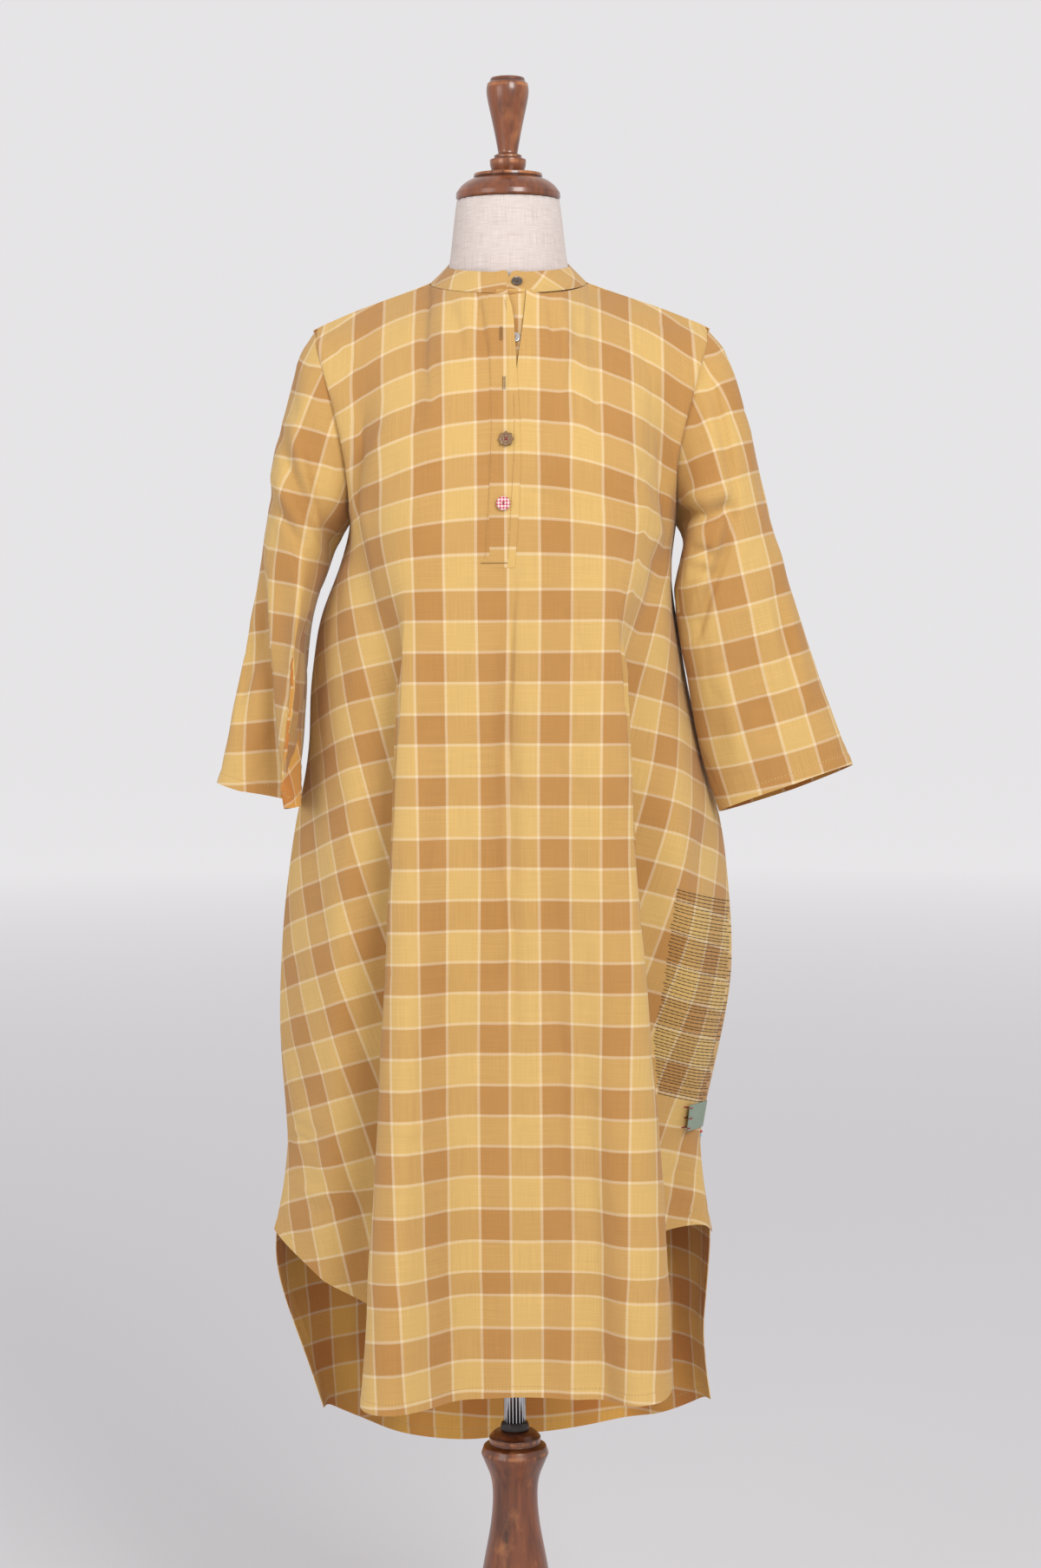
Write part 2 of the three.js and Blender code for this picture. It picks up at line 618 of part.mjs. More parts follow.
function collarWall() {
  const endTurn = (x) => Math.asin(x / NECK_POINT.x) / Math.PI;
  const first = endTurn(COLLAR.endRight);
  const last = 2 - endTurn(COLLAR.endLeft);
  const rounding = endTurn(COLLAR.endRound);
  const points = steps(COLLAR.rows - 1, 1, 0).flatMap((v) =>
    steps(COLLAR.columns, 0, 1).map((s) => {
      const turn = mix(first, last, s - COLLAR.bunching * Math.sin(4 * Math.PI * s));
      const toEnd = Math.min(turn - first, last - turn) / rounding;
      const top = toEnd < 1 ? 1 - COLLAR.endDrop * (1 - toEnd) ** 2 : 1;
      return collarPoint(turn, mix(COLLAR.foot, top, v));
    }),
  );
  return wall(points, gridFaces(COLLAR.rows, COLLAR.columns + 1), COLLAR.thickness);
}

// Pieces that lie on the front panel are made from its own points, moved out or in.
function patchOnFront(us, ts, raise, thickness, shift = 0) {
  const points = ts.flatMap((t) =>
    us(t).map((u) => {
      const point = clothPoint(PANELS.front, u, t, raise);
      point.x += shift ? slitShift(u, t, shift) : 0;
      return point;
    }),
  );
  const columns = us(ts[0]).length;
  return wall(points, gridFaces(ts.length, columns), thickness);
}

// The column of the front that lies a given distance from the centre line, and the row at a given height,
// both found by halving.
const HALVINGS = 30;
function columnAt(x, t) {
  let low = 0;
  let high = RIM_U.full;
  for (let i = 0; i < HALVINGS; i += 1) {
    const u = (low + high) / 2;
    if (panelPoint(PANELS.front, u, t)[0] < Math.abs(x)) low = u;
    else high = u;
  }
  return Math.sign(x) * low;
}

function rowAt(z, u = 0) {
  let low = 0;
  let high = 2;
  for (let i = 0; i < HALVINGS; i += 1) {
    const t = (low + high) / 2;
    if (panelPoint(PANELS.front, u, t)[2] > z) low = t;
    else high = t;
  }
  return low;
}

const PLACKET = { rows: 15, columns: 3, topT: 0.012, bottomZ: 1287, left: -19.5, thickness: 1.2 };
const OVER_EDGE = table(["z", "x"], [
  [1555, -1],
  [1537, 4],
  [1511, 6],
  [1455, 9],
  [1428, 10.5],
  [1355, 10],
  [1287, 5],
]); // the free edge of the upper strip
function placketOver() {
  const columns = (t) => {
    const right = along(OVER_EDGE, "z", panelPoint(PANELS.front, 0, t)[2], "x");
    return steps(PLACKET.columns, PLACKET.left, right).map((x) => columnAt(x - slitShift(0, t, -1), t));
  };
  const rows = steps(PLACKET.rows, PLACKET.topT, rowAt(PLACKET.bottomZ));
  return patchOnFront(columns, rows, LAY_GAP + PLACKET.thickness, PLACKET.thickness, -1);
}
// The under strip bends with the rows of the front, so that the two stay parallel.
const UNDER = { left: -12, right: 24, columns: 4, gap: 0.6, endT: 0.72 };
const placketUnder = () =>
  patchOnFront(
    (t) => steps(UNDER.columns, UNDER.left, UNDER.right).map((x) => columnAt(x, t)),
    [PLACKET.topT, ...UPPER_T.filter((t) => t > PLACKET.topT && t < UNDER.endT)],
    -(CLOTH + UNDER.gap),
    PLACKET.thickness,
  );

// A small folded tab that is caught in the right side seam.
const TAB = { topZ: 740, bottomZ: 713, columns: [0.88, 0.94, 0.985], middleU: 0.93, thickness: 1 };
const TAB_T = [rowAt(TAB.topZ, TAB.middleU), rowAt(TAB.bottomZ, TAB.middleU)];
const seamTab = () => patchOnFront(() => TAB.columns, TAB_T, LAY_GAP + TAB.thickness, TAB.thickness);
const FRONT_T = [...BODY_T, ...TAB_T].sort((a, b) => a - b);

// Turned pieces: a profile of radii and heights is spun round the pole's axis.
function turned(profile, segments) {
  const closed = [{ r: 0, z: profile[0].z }, ...profile, { r: 0, z: profile[profile.length - 1].z }];
  const points = closed.map((p) => new THREE.Vector2(p.r, p.z));
  const geometry = new THREE.LatheGeometry(points, segments);
  geometry.rotateX(Math.PI / 2);
  geometry.deleteAttribute("normal");
  geometry.deleteAttribute("uv");
  return mergeVertices(geometry, 1e-3);
}

// Buttons, set on the cloth with their backs to it.
const BUTTONS = [
  { name: "button_collar", x: 9.5, z: 1568, radius: 5.3, thickness: 2.2, on: "collar" },
  { name: "button_pearl", x: 6.3, z: 1511, radius: 5.2, thickness: 1.6, on: "under" },
  { name: "button_flower", x: -3, z: 1411, radius: 7, thickness: 2.6, on: "over", petals: 8 },
  { name: "button_check", x: -6, z: 1349, radius: 6.8, thickness: 3, on: "over" },
];
const BUTTON = { rim: 0.8, wellOuter: 0.6, wellInner: 0.5, petalDepth: 0.1, segments: 16, petalSegments: 24 };
function buttonGeometry(button) {
  const { radius, thickness } = button;
  const { rim } = BUTTON;
  const profile = [
    { r: radius - rim, z: 0 },
    { r: radius, z: rim },
    { r: radius, z: thickness - rim },
    { r: radius - rim, z: thickness },
    { r: radius * BUTTON.wellOuter, z: thickness },
    { r: radius * BUTTON.wellInner, z: thickness - rim / 2 },
  ];
  const geometry = turned(profile, button.petals ? BUTTON.petalSegments : BUTTON.segments);
  if (button.petals) {
    const p = geometry.attributes.position;
    for (let i = 0; i < p.count; i += 1) {
      const angle = Math.atan2(p.getY(i), p.getX(i));
      const share = Math.hypot(p.getX(i), p.getY(i)) / radius;
      const wave = 1 + BUTTON.petalDepth * Math.cos(button.petals * angle) * share;
      p.setXY(i, p.getX(i) * wave, p.getY(i) * wave);
    }
  }
  return geometry;
}

function placeButton(mesh, button) {
  const t = rowAt(button.z);
  const u = columnAt(button.x, t);
  let base;
  let normal;
  if (button.on === "collar") {
    const turn = Math.asin(button.x / NECK_POINT.x) / Math.PI;
    const middle = 0.5;
    base = collarPoint(turn, middle);
    const up = collarPoint(turn, middle + STEP).sub(base);
    normal = collarPoint(turn + STEP, middle).sub(base).cross(up).normalize();
  } else {
    const lift = button.on === "over" ? LAY_GAP + PLACKET.thickness : -(CLOTH + UNDER.gap);
    base = clothPoint(PANELS.front, u, t, lift);
    normal = panelNormal(PANELS.front, u, t);
  }
  mesh.position.copy(base.addScaledVector(normal, LAY_GAP));
  mesh.quaternion.setFromUnitVectors(new THREE.Vector3(0, 0, 1), normal);
}

// Dress form: a smooth body without limbs, one row for each level. power rounds the section's corners.
const FORM_SEGMENTS = 28;
const FORM = table(["z", "half", "front", "back", "power"], [
  [885, 150, -92, 90, 2.2],
  [893, 158, -99, 97, 2.2],
  [940, 166, -100, 100, 2.2],
  [1010, 162, -98, 96, 2.2],
  [1090, 140, -92, 78, 2.1],
  [1180, 117, -82, 62, 2.1],
  [1250, 124, -96, 72, 2.1],
  [1300, 138, -112, 84, 2.1],
  [1345, 150, -119, 92, 2.1],
  [1390, 160, -112, 95, 2.2],
  [1430, 168, -96, 90, 2.2],
  [1465, 178, -84, 82, 2.1],
  [1490, 187, -66, 68, 1.9],
  [1508, 192, -48, 52, 1.6],
  [1523, 193, -30, 34, 1.35],
  [1537, 158, -38, 42, 1.2],
  [1548, 120, -46, 50, 1.12],
  [1558, 88, -52, 56, 1.3],
  [1570, 66, -58, 59, 1.75],
  [1586, 59.5, -59.5, 59.5, 2],
  [1606, 57.6, -57.6, 57.6, 2],
  [1638, 54.4, -54.4, 54.4, 2],
  [1654, 51.8, -51.8, 51.8, 2],
]);
function formGeometry() {
  const points = [];
  for (const row of FORM) {
    for (let i = 0; i < FORM_SEGMENTS; i += 1) {
      const angle = (2 * Math.PI * i) / FORM_SEGMENTS;
      const c = Math.cos(angle);
      const s = Math.sin(angle);
      const scale = (Math.abs(c) ** row.power + Math.abs(s) ** row.power) ** (-1 / row.power);
      points.push(new THREE.Vector3(row.half * c * scale, (s < 0 ? -row.front : row.back) * s * scale, row.z));
    }
  }
  const index = [];
  for (let r = 0; r < FORM.length - 1; r += 1) {
    for (let i = 0; i < FORM_SEGMENTS; i += 1) {
      const a = r * FORM_SEGMENTS + i;
      const b = r * FORM_SEGMENTS + ((i + 1) % FORM_SEGMENTS);
      index.push(a, b, b + FORM_SEGMENTS, a, b + FORM_SEGMENTS, a + FORM_SEGMENTS);
    }
  }
  const top = (FORM.length - 1) * FORM_SEGMENTS;
  for (let i = 1; i < FORM_SEGMENTS - 1; i += 1) index.push(0, i + 1, i, top, top + i, top + i + 1);
  return solid(points, index);
}

// Turned cap and finial that close the neck.
const CAP_PROFILE = table(["r", "z"], [
  [51.5, 1654.4],
  [53, 1656],
  [52.6, 1661],
  [48, 1668],
  [40, 1673.5],
  [34, 1675.5],
  [35, 1677],
  [34.5, 1680],
  [16, 1681.5],
  [18.4, 1688],
  [18.4, 1694],
  [14, 1695.5],
  [14, 1698],
  [9.7, 1700],
  [13.5, 1722],
  [20, 1750],
  [22, 1762],
  [20.5, 1769],
  [18, 1771],
  [17, 1774.5],
  [13, 1776],
]);
const TURNED_SEGMENTS = 24;
const POLE_SEGMENTS = 20;
const POLE_PROFILE = table(["r", "z"], [
  [11.7, 399],
  [11.7, 884.6],
]);
// The turned column of the stand: its top and neck, then a plain vase and a hub for the legs.
const COLUMN_PROFILE = table(["r", "z"], [
  [24, 62],
  [30, 70],
  [33, 80],
  [33, 150],
  [28, 158],
  [34, 166],
  [34, 172],
  [29, 180],
  [38, 205],
  [39, 222],
  [36, 243],
  [31, 271],
  [25.4, 298],
  [22.6, 330],
  [25, 350],
  [30, 361],
  [35.4, 374],
  [32.5, 382],
  [26.5, 385],
  [27, 391],
  [22, 396.5],
  [14, 398.7],
]);
const LEG = { count: 3, width: 26, stations: 12, padStations: 3, clearance: 0.6, bevel: 5, endNarrow: 0.7 };
// Side outline of one curved leg, from its joint at the hub out to the pad on the floor.
const LEG_LINE = table(["run", "z", "depth"], [
  [33.6, 118, 56],
  [70, 116, 46],
  [125, 96, 36],
  [190, 58, 30],
  [255, 25, 26],
  [300, 13, 24],
  [338, 12, 24],
]);
function legGeometry() {
  const { stations, bevel } = LEG;
  const points = [];
  for (let i = 0; i <= stations; i += 1) {
    const s = i / stations;
    const run = mix(LEG_LINE[0].run, LEG_LINE[LEG_LINE.length - 1].run, s);
    const z = along(LEG_LINE, "run", run, "z");
    const half = along(LEG_LINE, "run", run, "depth") / 2;
    const bottom = i > stations - LEG.padStations ? 0 : Math.max(z - half, LEG.clearance);
    const w = (LEG.width / 2) * (i === stations ? LEG.endNarrow : 1);
    points.push(
      new THREE.Vector3(run, -w, bottom + bevel),
      new THREE.Vector3(run, -w + bevel, bottom),
      new THREE.Vector3(run, w - bevel, bottom),
      new THREE.Vector3(run, w, bottom + bevel),
      new THREE.Vector3(run, w, z + half - bevel),
      new THREE.Vector3(run, w - bevel, z + half),
      new THREE.Vector3(run, -w + bevel, z + half),
      new THREE.Vector3(run, -w, z + half - bevel),
    );
  }
  const around = points.length / (stations + 1);
  const index = [];
  for (let r = 0; r < stations; r += 1) {
    for (let k = 0; k < around; k += 1) {
      const a = r * around + k;
      const b = r * around + ((k + 1) % around);
      index.push(a, b + around, a + around, a, b, b + around);
    }
  }
  const end = stations * around;
  for (let k = 1; k < around - 1; k += 1) index.push(0, k + 1, k, end, end + k, end + k + 1);
  return solid(points, index);
}

// Materials.
function finish(color, roughness, metalness = 0) {
  return new THREE.MeshStandardMaterial({ color, roughness, metalness });
}
const CHECK_COTTON = finish(0xd9a860, 0.85);
const LINEN = finish(0xd9d0c6, 0.9);
const STAINED_WOOD = finish(0x5a2a14, 0.3);
const CHROME = finish(0xc8c8cc, 0.12, 1);
const GREEN_COTTON = finish(0x8fae9a, 0.85);
const DARK_METAL = finish(0x4a4038, 0.4, 0.7);
const PEARL = finish(0xcfc8bc, 0.25);
const BUTTON_WOOD = finish(0x7a5a38, 0.6);
const PINK_CHECK = finish(0xd9829a, 0.7);

// Assembly.
const kurta = new THREE.Group();
function add(name, geometry, material, parent = kurta) {
  const mesh = new THREE.Mesh(geometry, material);
  mesh.name = name;
  parent.add(mesh);
  return mesh;
}

add("front", panelWall(PANELS.front, FRONT_COLUMNS, FRONT_T, true), CHECK_COTTON);
add("back", panelWall(PANELS.back, BACK_COLUMNS, BACK_T, false), CHECK_COTTON);
add("sleeve_right", sleeveWall(SLEEVES.right), CHECK_COTTON);
add("sleeve_left", sleeveWall(SLEEVES.left), CHECK_COTTON);
add("collar", collarWall(), CHECK_COTTON);
add("placket_over", placketOver(), CHECK_COTTON);
add("placket_under", placketUnder(), CHECK_COTTON);
add("seam_tab", seamTab(), GREEN_COTTON);
const buttonFinish = {
  button_collar: DARK_METAL,
  button_pearl: PEARL,
  button_flower: BUTTON_WOOD,
  button_check: PINK_CHECK,
};
for (const button of BUTTONS) {
  placeButton(add(button.name, buttonGeometry(button), buttonFinish[button.name]), button);
}

add("form_body", formGeometry(), LINEN);
add("form_cap", turned(CAP_PROFILE, TURNED_SEGMENTS), STAINED_WOOD);
add("stand_pole", turned(POLE_PROFILE, POLE_SEGMENTS), CHROME);
add("stand_column", turned(COLUMN_PROFILE, TURNED_SEGMENTS), STAINED_WOOD);
for (let i = 0; i < LEG.count; i += 1) {
  const spoke = new THREE.Group();
  spoke.rotation.z = Math.PI + (i * 2 * Math.PI) / LEG.count;
  add(`stand_leg_${i + 1}`, legGeometry(), STAINED_WOOD, spoke);
  kurta.add(spoke);
}

export default kurta;
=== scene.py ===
import math

import bmesh
import bpy
import numpy as np
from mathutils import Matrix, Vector, kdtree, noise
from mathutils.bvhtree import BVHTree


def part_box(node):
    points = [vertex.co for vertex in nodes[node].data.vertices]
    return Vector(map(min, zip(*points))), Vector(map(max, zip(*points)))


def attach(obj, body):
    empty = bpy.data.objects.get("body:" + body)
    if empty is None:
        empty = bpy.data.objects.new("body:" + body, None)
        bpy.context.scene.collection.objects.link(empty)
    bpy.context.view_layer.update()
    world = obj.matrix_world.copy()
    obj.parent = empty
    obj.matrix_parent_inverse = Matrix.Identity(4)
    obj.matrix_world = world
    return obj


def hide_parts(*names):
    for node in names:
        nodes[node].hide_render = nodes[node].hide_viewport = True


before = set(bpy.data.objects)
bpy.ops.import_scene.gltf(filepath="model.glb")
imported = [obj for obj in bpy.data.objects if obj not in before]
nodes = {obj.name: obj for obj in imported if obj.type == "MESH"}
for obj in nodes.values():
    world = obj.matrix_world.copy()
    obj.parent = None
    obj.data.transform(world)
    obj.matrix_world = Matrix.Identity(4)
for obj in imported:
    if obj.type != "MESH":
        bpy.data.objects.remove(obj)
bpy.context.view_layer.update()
MM = 0.001

# Front panel. A yellow and tan check cotton, cut with a rounded hem and slit down the middle for the placket.
# It hangs from the bust in two broad ridges and tucks back under them towards the side seams.
CLOTH_THICKNESS = 0.9 * MM
RIM_FACE = 1.6 * MM  # a face of a solid's rim is narrower than this, the others are wider
COLLAR_RIM_FACE = 2.3 * MM
BAND = 30.8 * MM  # one yellow or tan band of the check with its cream line
CREAM_LINE = 2.7 * MM
YELLOW = (0.56, 0.36, 0.115)
TAN = (0.385, 0.182, 0.044)
# Deeper orange copies of the check colours for the inner faces: painted light shining through the thin
# cotton.
CREAM = (0.70, 0.57, 0.385)
INSIDE_YELLOW_PAINTED_THROUGH_LIGHT = (0.60, 0.31, 0.055)
INSIDE_TAN_PAINTED_THROUGH_LIGHT = (0.42, 0.145, 0.018)
WEAVE = 1.1 * MM  # from one raised thread to the next
HEM = 11 * MM  # from a hem's edge to its line of stitches
HEM_STITCH = 3.4 * MM


class Value:
    """A shader socket that adds Math nodes when it stands in an expression."""

    def __init__(self, finish, socket):
        self.finish = finish
        self.socket = socket

    def combine(self, operation, first, second):
        return self.finish.node("ShaderNodeMath", {"operation": operation}, {0: first, 1: second})

    def __add__(self, other):
        return self.combine("ADD", self, other)

    def __radd__(self, other):
        return self.combine("ADD", other, self)

    def __sub__(self, other):
        return self.combine("SUBTRACT", self, other)

    def __rsub__(self, other):
        return self.combine("SUBTRACT", other, self)

    def __mul__(self, other):
        return self.combine("MULTIPLY", self, other)

    def __rmul__(self, other):
        return self.combine("MULTIPLY", other, self)

    def __truediv__(self, other):
        return self.combine("DIVIDE", self, other)

    def fraction(self):
        return self.combine("FRACT", self, 0)

    def size(self):
        return self.combine("ABSOLUTE", self, 0)

    def sine(self):
        return self.combine("SINE", self, 0)

    def limited(self):
        return self.finish.node("ShaderNodeClamp", {}, {"Value": self})

    def part(self, name):
        return Value(self.finish, self.socket.node.outputs[name])


class Finish:
    """A material with one Principled shader, and a method that adds any other node."""

    def __init__(self, name):
        self.material = bpy.data.materials.new(name)
        self.material.use_nodes = True
        self.tree = self.material.node_tree
        self.shader = self.tree.nodes["Principled BSDF"]

    def node(self, kind, settings, sockets):
        node = self.tree.nodes.new(kind)
        for key, value in settings.items():
            if key == "stops":
                for place, color in value:
                    stop = node.color_ramp.elements.new(place)
                    stop.color = (*color, 1)
                node.color_ramp.elements.remove(node.color_ramp.elements[0])
                node.color_ramp.elements.remove(node.color_ramp.elements[-1])
            else:
                setattr(node, key, value)
        for key, value in sockets.items():
            self.feed(node.inputs[key], value)
        return Value(self, next(output for output in node.outputs if output.enabled))

    def feed(self, socket, value):
        if isinstance(value, Value):
            self.tree.links.new(value.socket, socket)
        elif isinstance(value, tuple) and len(value) == 3 and socket.type == "RGBA":
            socket.default_value = (*value, 1)
        else:
            socket.default_value = value

    def mix(self, amount, first, second, how="MIX"):
        sockets = {0: amount, 6: first, 7: second}
        node = self.node("ShaderNodeMix", {"data_type": "RGBA", "blend_type": how}, sockets)
        return Value(self, node.socket.node.outputs[2])

    def speckle(self, place, scale, stretch=(1, 1, 1), detail=2):
        place = self.node("ShaderNodeMapping", {}, {"Vector": place, "Scale": stretch})
        return self.node("ShaderNodeTexNoise", {}, {"Vector": place, "Scale": scale, "Detail": detail})

    def place(self, name):
        return self.node("ShaderNodeTexCoord", {}, {}).part(name)

    def axes(self, place):
        split = self.node("ShaderNodeSeparateXYZ", {}, {0: place})
        return [split.part(axis) for axis in "XYZ"]

    def bump(self, height, distance, strength=1.0):
        sockets = {"Height": height, "Distance": distance, "Strength": strength}
        self.feed(self.shader.inputs["Normal"], self.node("ShaderNodeBump", {}, sockets))

    def set(self, **values):
        for name, value in values.items():
            self.feed(self.shader.inputs[name.replace("_", " ")], value)


def woven_check(name, shift, light=YELLOW, dark=TAN):
    """Check cotton on a piece's own UV map in metres: each thread shows the colour of its band."""
    finish = Finish(name)
    across, up, _ = finish.axes(finish.place("UV"))
    threads = []
    for along, offset, slub in ((across, shift[0], (1, 0.012, 1)), (up, shift[1], (0.012, 1, 1))):
        bands = (along + (offset * MM + 100 * BAND)) / BAND
        from_line = ((bands + 0.5).fraction() - 0.5).size() * BAND
        line = ((CREAM_LINE / 2 - from_line) / (0.9 * MM) + 0.5).limited()
        yellow = (((bands / 2).fraction() - 0.5) / 0.008 + 0.5).limited()
        uneven = finish.speckle(finish.place("UV"), 1700, slub, 1)
        colour = finish.mix(yellow, dark, light)
        colour = finish.mix(line * 0.85, colour, CREAM)
        shade = uneven * 0.5 + 0.75
        grey = finish.node("ShaderNodeCombineColor", {}, {0: shade, 1: shade, 2: shade})
        threads.append(finish.mix(1.0, colour, grey, "MULTIPLY"))
    over = (across * (2 * math.pi / WEAVE)).sine() * (up * (2 * math.pi / WEAVE)).sine()
    cloth = finish.mix(over * 0.3 + 0.5, threads[0], threads[1])
    faded = finish.speckle(finish.place("UV"), 9, (1, 1, 1), 3)
    cloth = finish.mix(faded * 0.14, cloth, (0.72, 0.5, 0.24))
    edge = finish.node("ShaderNodeUVMap", {"uv_map": "edge"}, {})
    along, away, _ = finish.axes(edge)
    # The dark line along the row of hem stitches is painted shade in the stitch groove; the paler dashes over
    # it are the thread.
    row = ((0.45 * MM - (away - HEM).size()) / (0.3 * MM)).limited()
    dash = ((0.34 - ((along / HEM_STITCH).fraction() - 0.5).size()) / 0.06).limited()
    cloth = finish.mix(row * 0.55, cloth, (0.16, 0.075, 0.02))
    cloth = finish.mix(row * dash * 0.8, cloth, (0.6, 0.4, 0.16))
    finish.set(Base_Color=cloth, Roughness=0.82, Sheen_Weight=0.12, Sheen_Roughness=0.6)
    finish.shader.inputs["Specular IOR Level"].default_value = 0.2
    finish.bump(over * 0.5 + finish.speckle(finish.place("UV"), 420, (1, 1, 1), 2), 0.25 * MM, 0.35)
    return finish.material


def outer_sheet(node, narrow=RIM_FACE):
    """The outer face of a cloth solid as one sheet of four-cornered faces, without its rim and inner face."""
    mesh = bmesh.new()
    mesh.from_mesh(nodes[node].data)
    bmesh.ops.remove_doubles(mesh, verts=mesh.verts, dist=0.01 * MM)
    rim = [f for f in mesh.faces if 2 * f.calc_area() / max(e.calc_length() for e in f.edges) < narrow]
    bmesh.ops.delete(mesh, geom=rim, context="FACES")
    mesh.faces.ensure_lookup_table()
    left = dict.fromkeys(mesh.faces)
    patches = []
    while left:
        patch = [left.popitem()[0]]
        for face in patch:
            for edge in face.edges:
                for other in edge.link_faces:
                    if other in left:
                        del left[other]
                        patch.append(other)
        patches.append(patch)
    patches.sort(key=lambda patch: sum(face.calc_area() for face in patch))
    bmesh.ops.delete(mesh, geom=[face for patch in patches[:-1] for face in patch], context="FACES")
    free = [edge for edge in mesh.edges if len(edge.link_faces) == 1]
    bmesh.ops.holes_fill(mesh, edges=free, sides=3)
    bmesh.ops.join_triangles(
        mesh,
        faces=mesh.faces,
        angle_face_threshold=math.pi,
        angle_shape_threshold=math.pi,
        topology_influence=1.0,
    )
    data = bpy.data.meshes.new(node)
    mesh.to_mesh(data)
    mesh.free()
    return data


def points_of(data):
    points = np.zeros(len(data.vertices) * 3)
    data.vertices.foreach_get("co", points)
    return points.reshape(-1, 3)


def normals_of(data):
    normals = np.zeros(len(data.vertices) * 3)
    data.vertex_normals.foreach_get("vector", normals)
    return normals.reshape(-1, 3)


def put_points(data, points):
    data.vertices.foreach_set("co", points.ravel())
    data.update()


def corners_of(data):
    """The point that each face corner uses."""
    corners = np.zeros(len(data.loops), int)
    data.loops.foreach_get("vertex_index", corners)
    return corners


def flat_of(data):
    flat = np.zeros(len(data.loops) * 2)
    data.uv_layers.active.data.foreach_get("uv", flat)
    return flat.reshape(-1, 2)


def put_flat(data, flat):
    data.uv_layers.active.data.foreach_set("uv", flat.ravel())


def ease(share):
    """A share that starts and ends gently."""
    return share * share * (3 - 2 * share)


def show_only(piece):
    bpy.ops.object.select_all(action="DESELECT")
    piece.select_set(True)
    bpy.context.view_layer.objects.active = piece


def apply_modifier(piece, kind, **settings):
    modifier = piece.modifiers.new(kind.lower(), kind)
    for key, value in settings.items():
        setattr(modifier, key, value)
    show_only(piece)
    bpy.ops.object.modifier_apply(modifier=modifier.name)


def new_piece(name, data):
    piece = bpy.data.objects.new(name, data)
    bpy.context.scene.collection.objects.link(piece)
    return piece


def unwrap(piece, seam=None):
    """Lays the sheet flat. seam says which edges are cut open first."""
    data = piece.data
    if seam:
        for edge in data.edges:
            edge.use_seam = seam(*(data.vertices[i].co for i in edge.vertices))
    show_only(piece)
    bpy.ops.object.mode_set(mode="EDIT")
    bpy.ops.mesh.select_all(action="SELECT")
    bpy.ops.uv.unwrap(method="MINIMUM_STRETCH", margin=0)
    bpy.ops.object.mode_set(mode="OBJECT")


def straighten(piece, top, bottom):
    """Brings the flat places to their real size, and turns the line from bottom to top upright."""
    data = piece.data
    flat = flat_of(data)
    points = points_of(data)[corners_of(data)]
    first = np.argmin(np.linalg.norm(points - np.array(bottom), axis=1))
    last = np.argmin(np.linalg.norm(points - np.array(top), axis=1))
    flat_area = 0
    for polygon in data.polygons:
        x, y = flat[list(polygon.loop_indices)].T
        flat_area += (np.dot(x, np.roll(y, -1)) - np.dot(y, np.roll(x, -1))) / 2
    true_area = sum(polygon.area for polygon in data.polygons)
    scale = math.sqrt(true_area / abs(flat_area))
    if flat_area < 0:
        flat = flat * (-1, 1)
    line = flat[last] - flat[first]
    turn = math.atan2(line[0], line[1])
    c, s = math.cos(turn), math.sin(turn)
    flat = (flat - flat[first]) @ np.array([[c, s], [-s, c]]) * scale
    flat += (points[first][0], points[first][2])
    put_flat(data, flat)


def smooth_sheet(piece, levels):
    """Subdivides a sheet so that it still passes through the points of its solid."""
    cage = points_of(piece.data)
    moved = cage.copy()
    for _ in range(3):
        trial = new_piece("trial", piece.data.copy())
        put_points(trial.data, moved)
        apply_modifier(trial, "SUBSURF", levels=levels, render_levels=levels)
        moved += cage - points_of(trial.data)[: len(cage)]
        bpy.data.objects.remove(trial)
    put_points(piece.data, moved)
    apply_modifier(piece, "SUBSURF", levels=levels, render_levels=levels, boundary_smooth="PRESERVE_CORNERS")


def hang_grain(piece, low, high):
    """Above the bust the warp hangs straight from the shoulders, and the weft droops towards the arms."""
    data = piece.data
    x, _, z = points_of(data)[corners_of(data)].T
    share = ease(np.clip((z - low) / (high - low), 0, 1))
    droop = 76 * MM * (np.abs(x) / 0.2) ** 2.3
    hung = np.stack([x, z + droop], axis=1)
    put_flat(data, flat_of(data) * (1 - share)[:, None] + hung * share[:, None])


def edge_rings(mesh):
    """The upright edges of a sheet's grid, as one ring for each row of faces."""
    left = dict.fromkeys(mesh.edges)
    rows = []
    while left:
        ring = [left.popitem()[0]]
        for edge in ring:
            for loop in edge.link_loops:
                opposite = loop.link_loop_next.link_loop_next.edge
                if len(loop.face.verts) == 4 and opposite in left:
                    del left[opposite]
                    ring.append(opposite)
        steep = sum(abs(e.verts[0].co.z - e.verts[1].co.z) / e.calc_length() for e in ring)
        if steep > len(ring) * 0.6:
            rows.append(ring)
    return rows


def split_rows(piece):
    """Halves the rows of a sheet, which are wider apart than its columns."""
    mesh = bmesh.new()
    mesh.from_mesh(piece.data)
    upright = [edge for row in edge_rings(mesh) for edge in row]
    bmesh.ops.subdivide_edges(mesh, edges=upright, cuts=1, use_grid_fill=True)
    mesh.to_mesh(piece.data)
    mesh.free()


def join_thin_rows(piece, thinnest):
    """Joins each very thin row of faces to the row above it, so that the sheet stays smooth."""
    mesh = bmesh.new()
    mesh.from_mesh(piece.data)
    for row in edge_rings(mesh):
        whole = all(edge.is_valid for edge in row)
        if whole and sum(edge.calc_length() for edge in row) < thinnest * len(row):
            inside = set(row)
            faces = dict.fromkeys(face for edge in row for face in edge.link_faces)
            upper = []
            for face in faces:
                level = [edge for edge in face.edges if edge not in inside]
                upper.append(max(level, key=lambda edge: edge.verts[0].co.z + edge.verts[1].co.z))
            bmesh.ops.dissolve_edges(mesh, edges=list(dict.fromkeys(upper)), use_verts=True)
    mesh.to_mesh(piece.data)
    mesh.free()


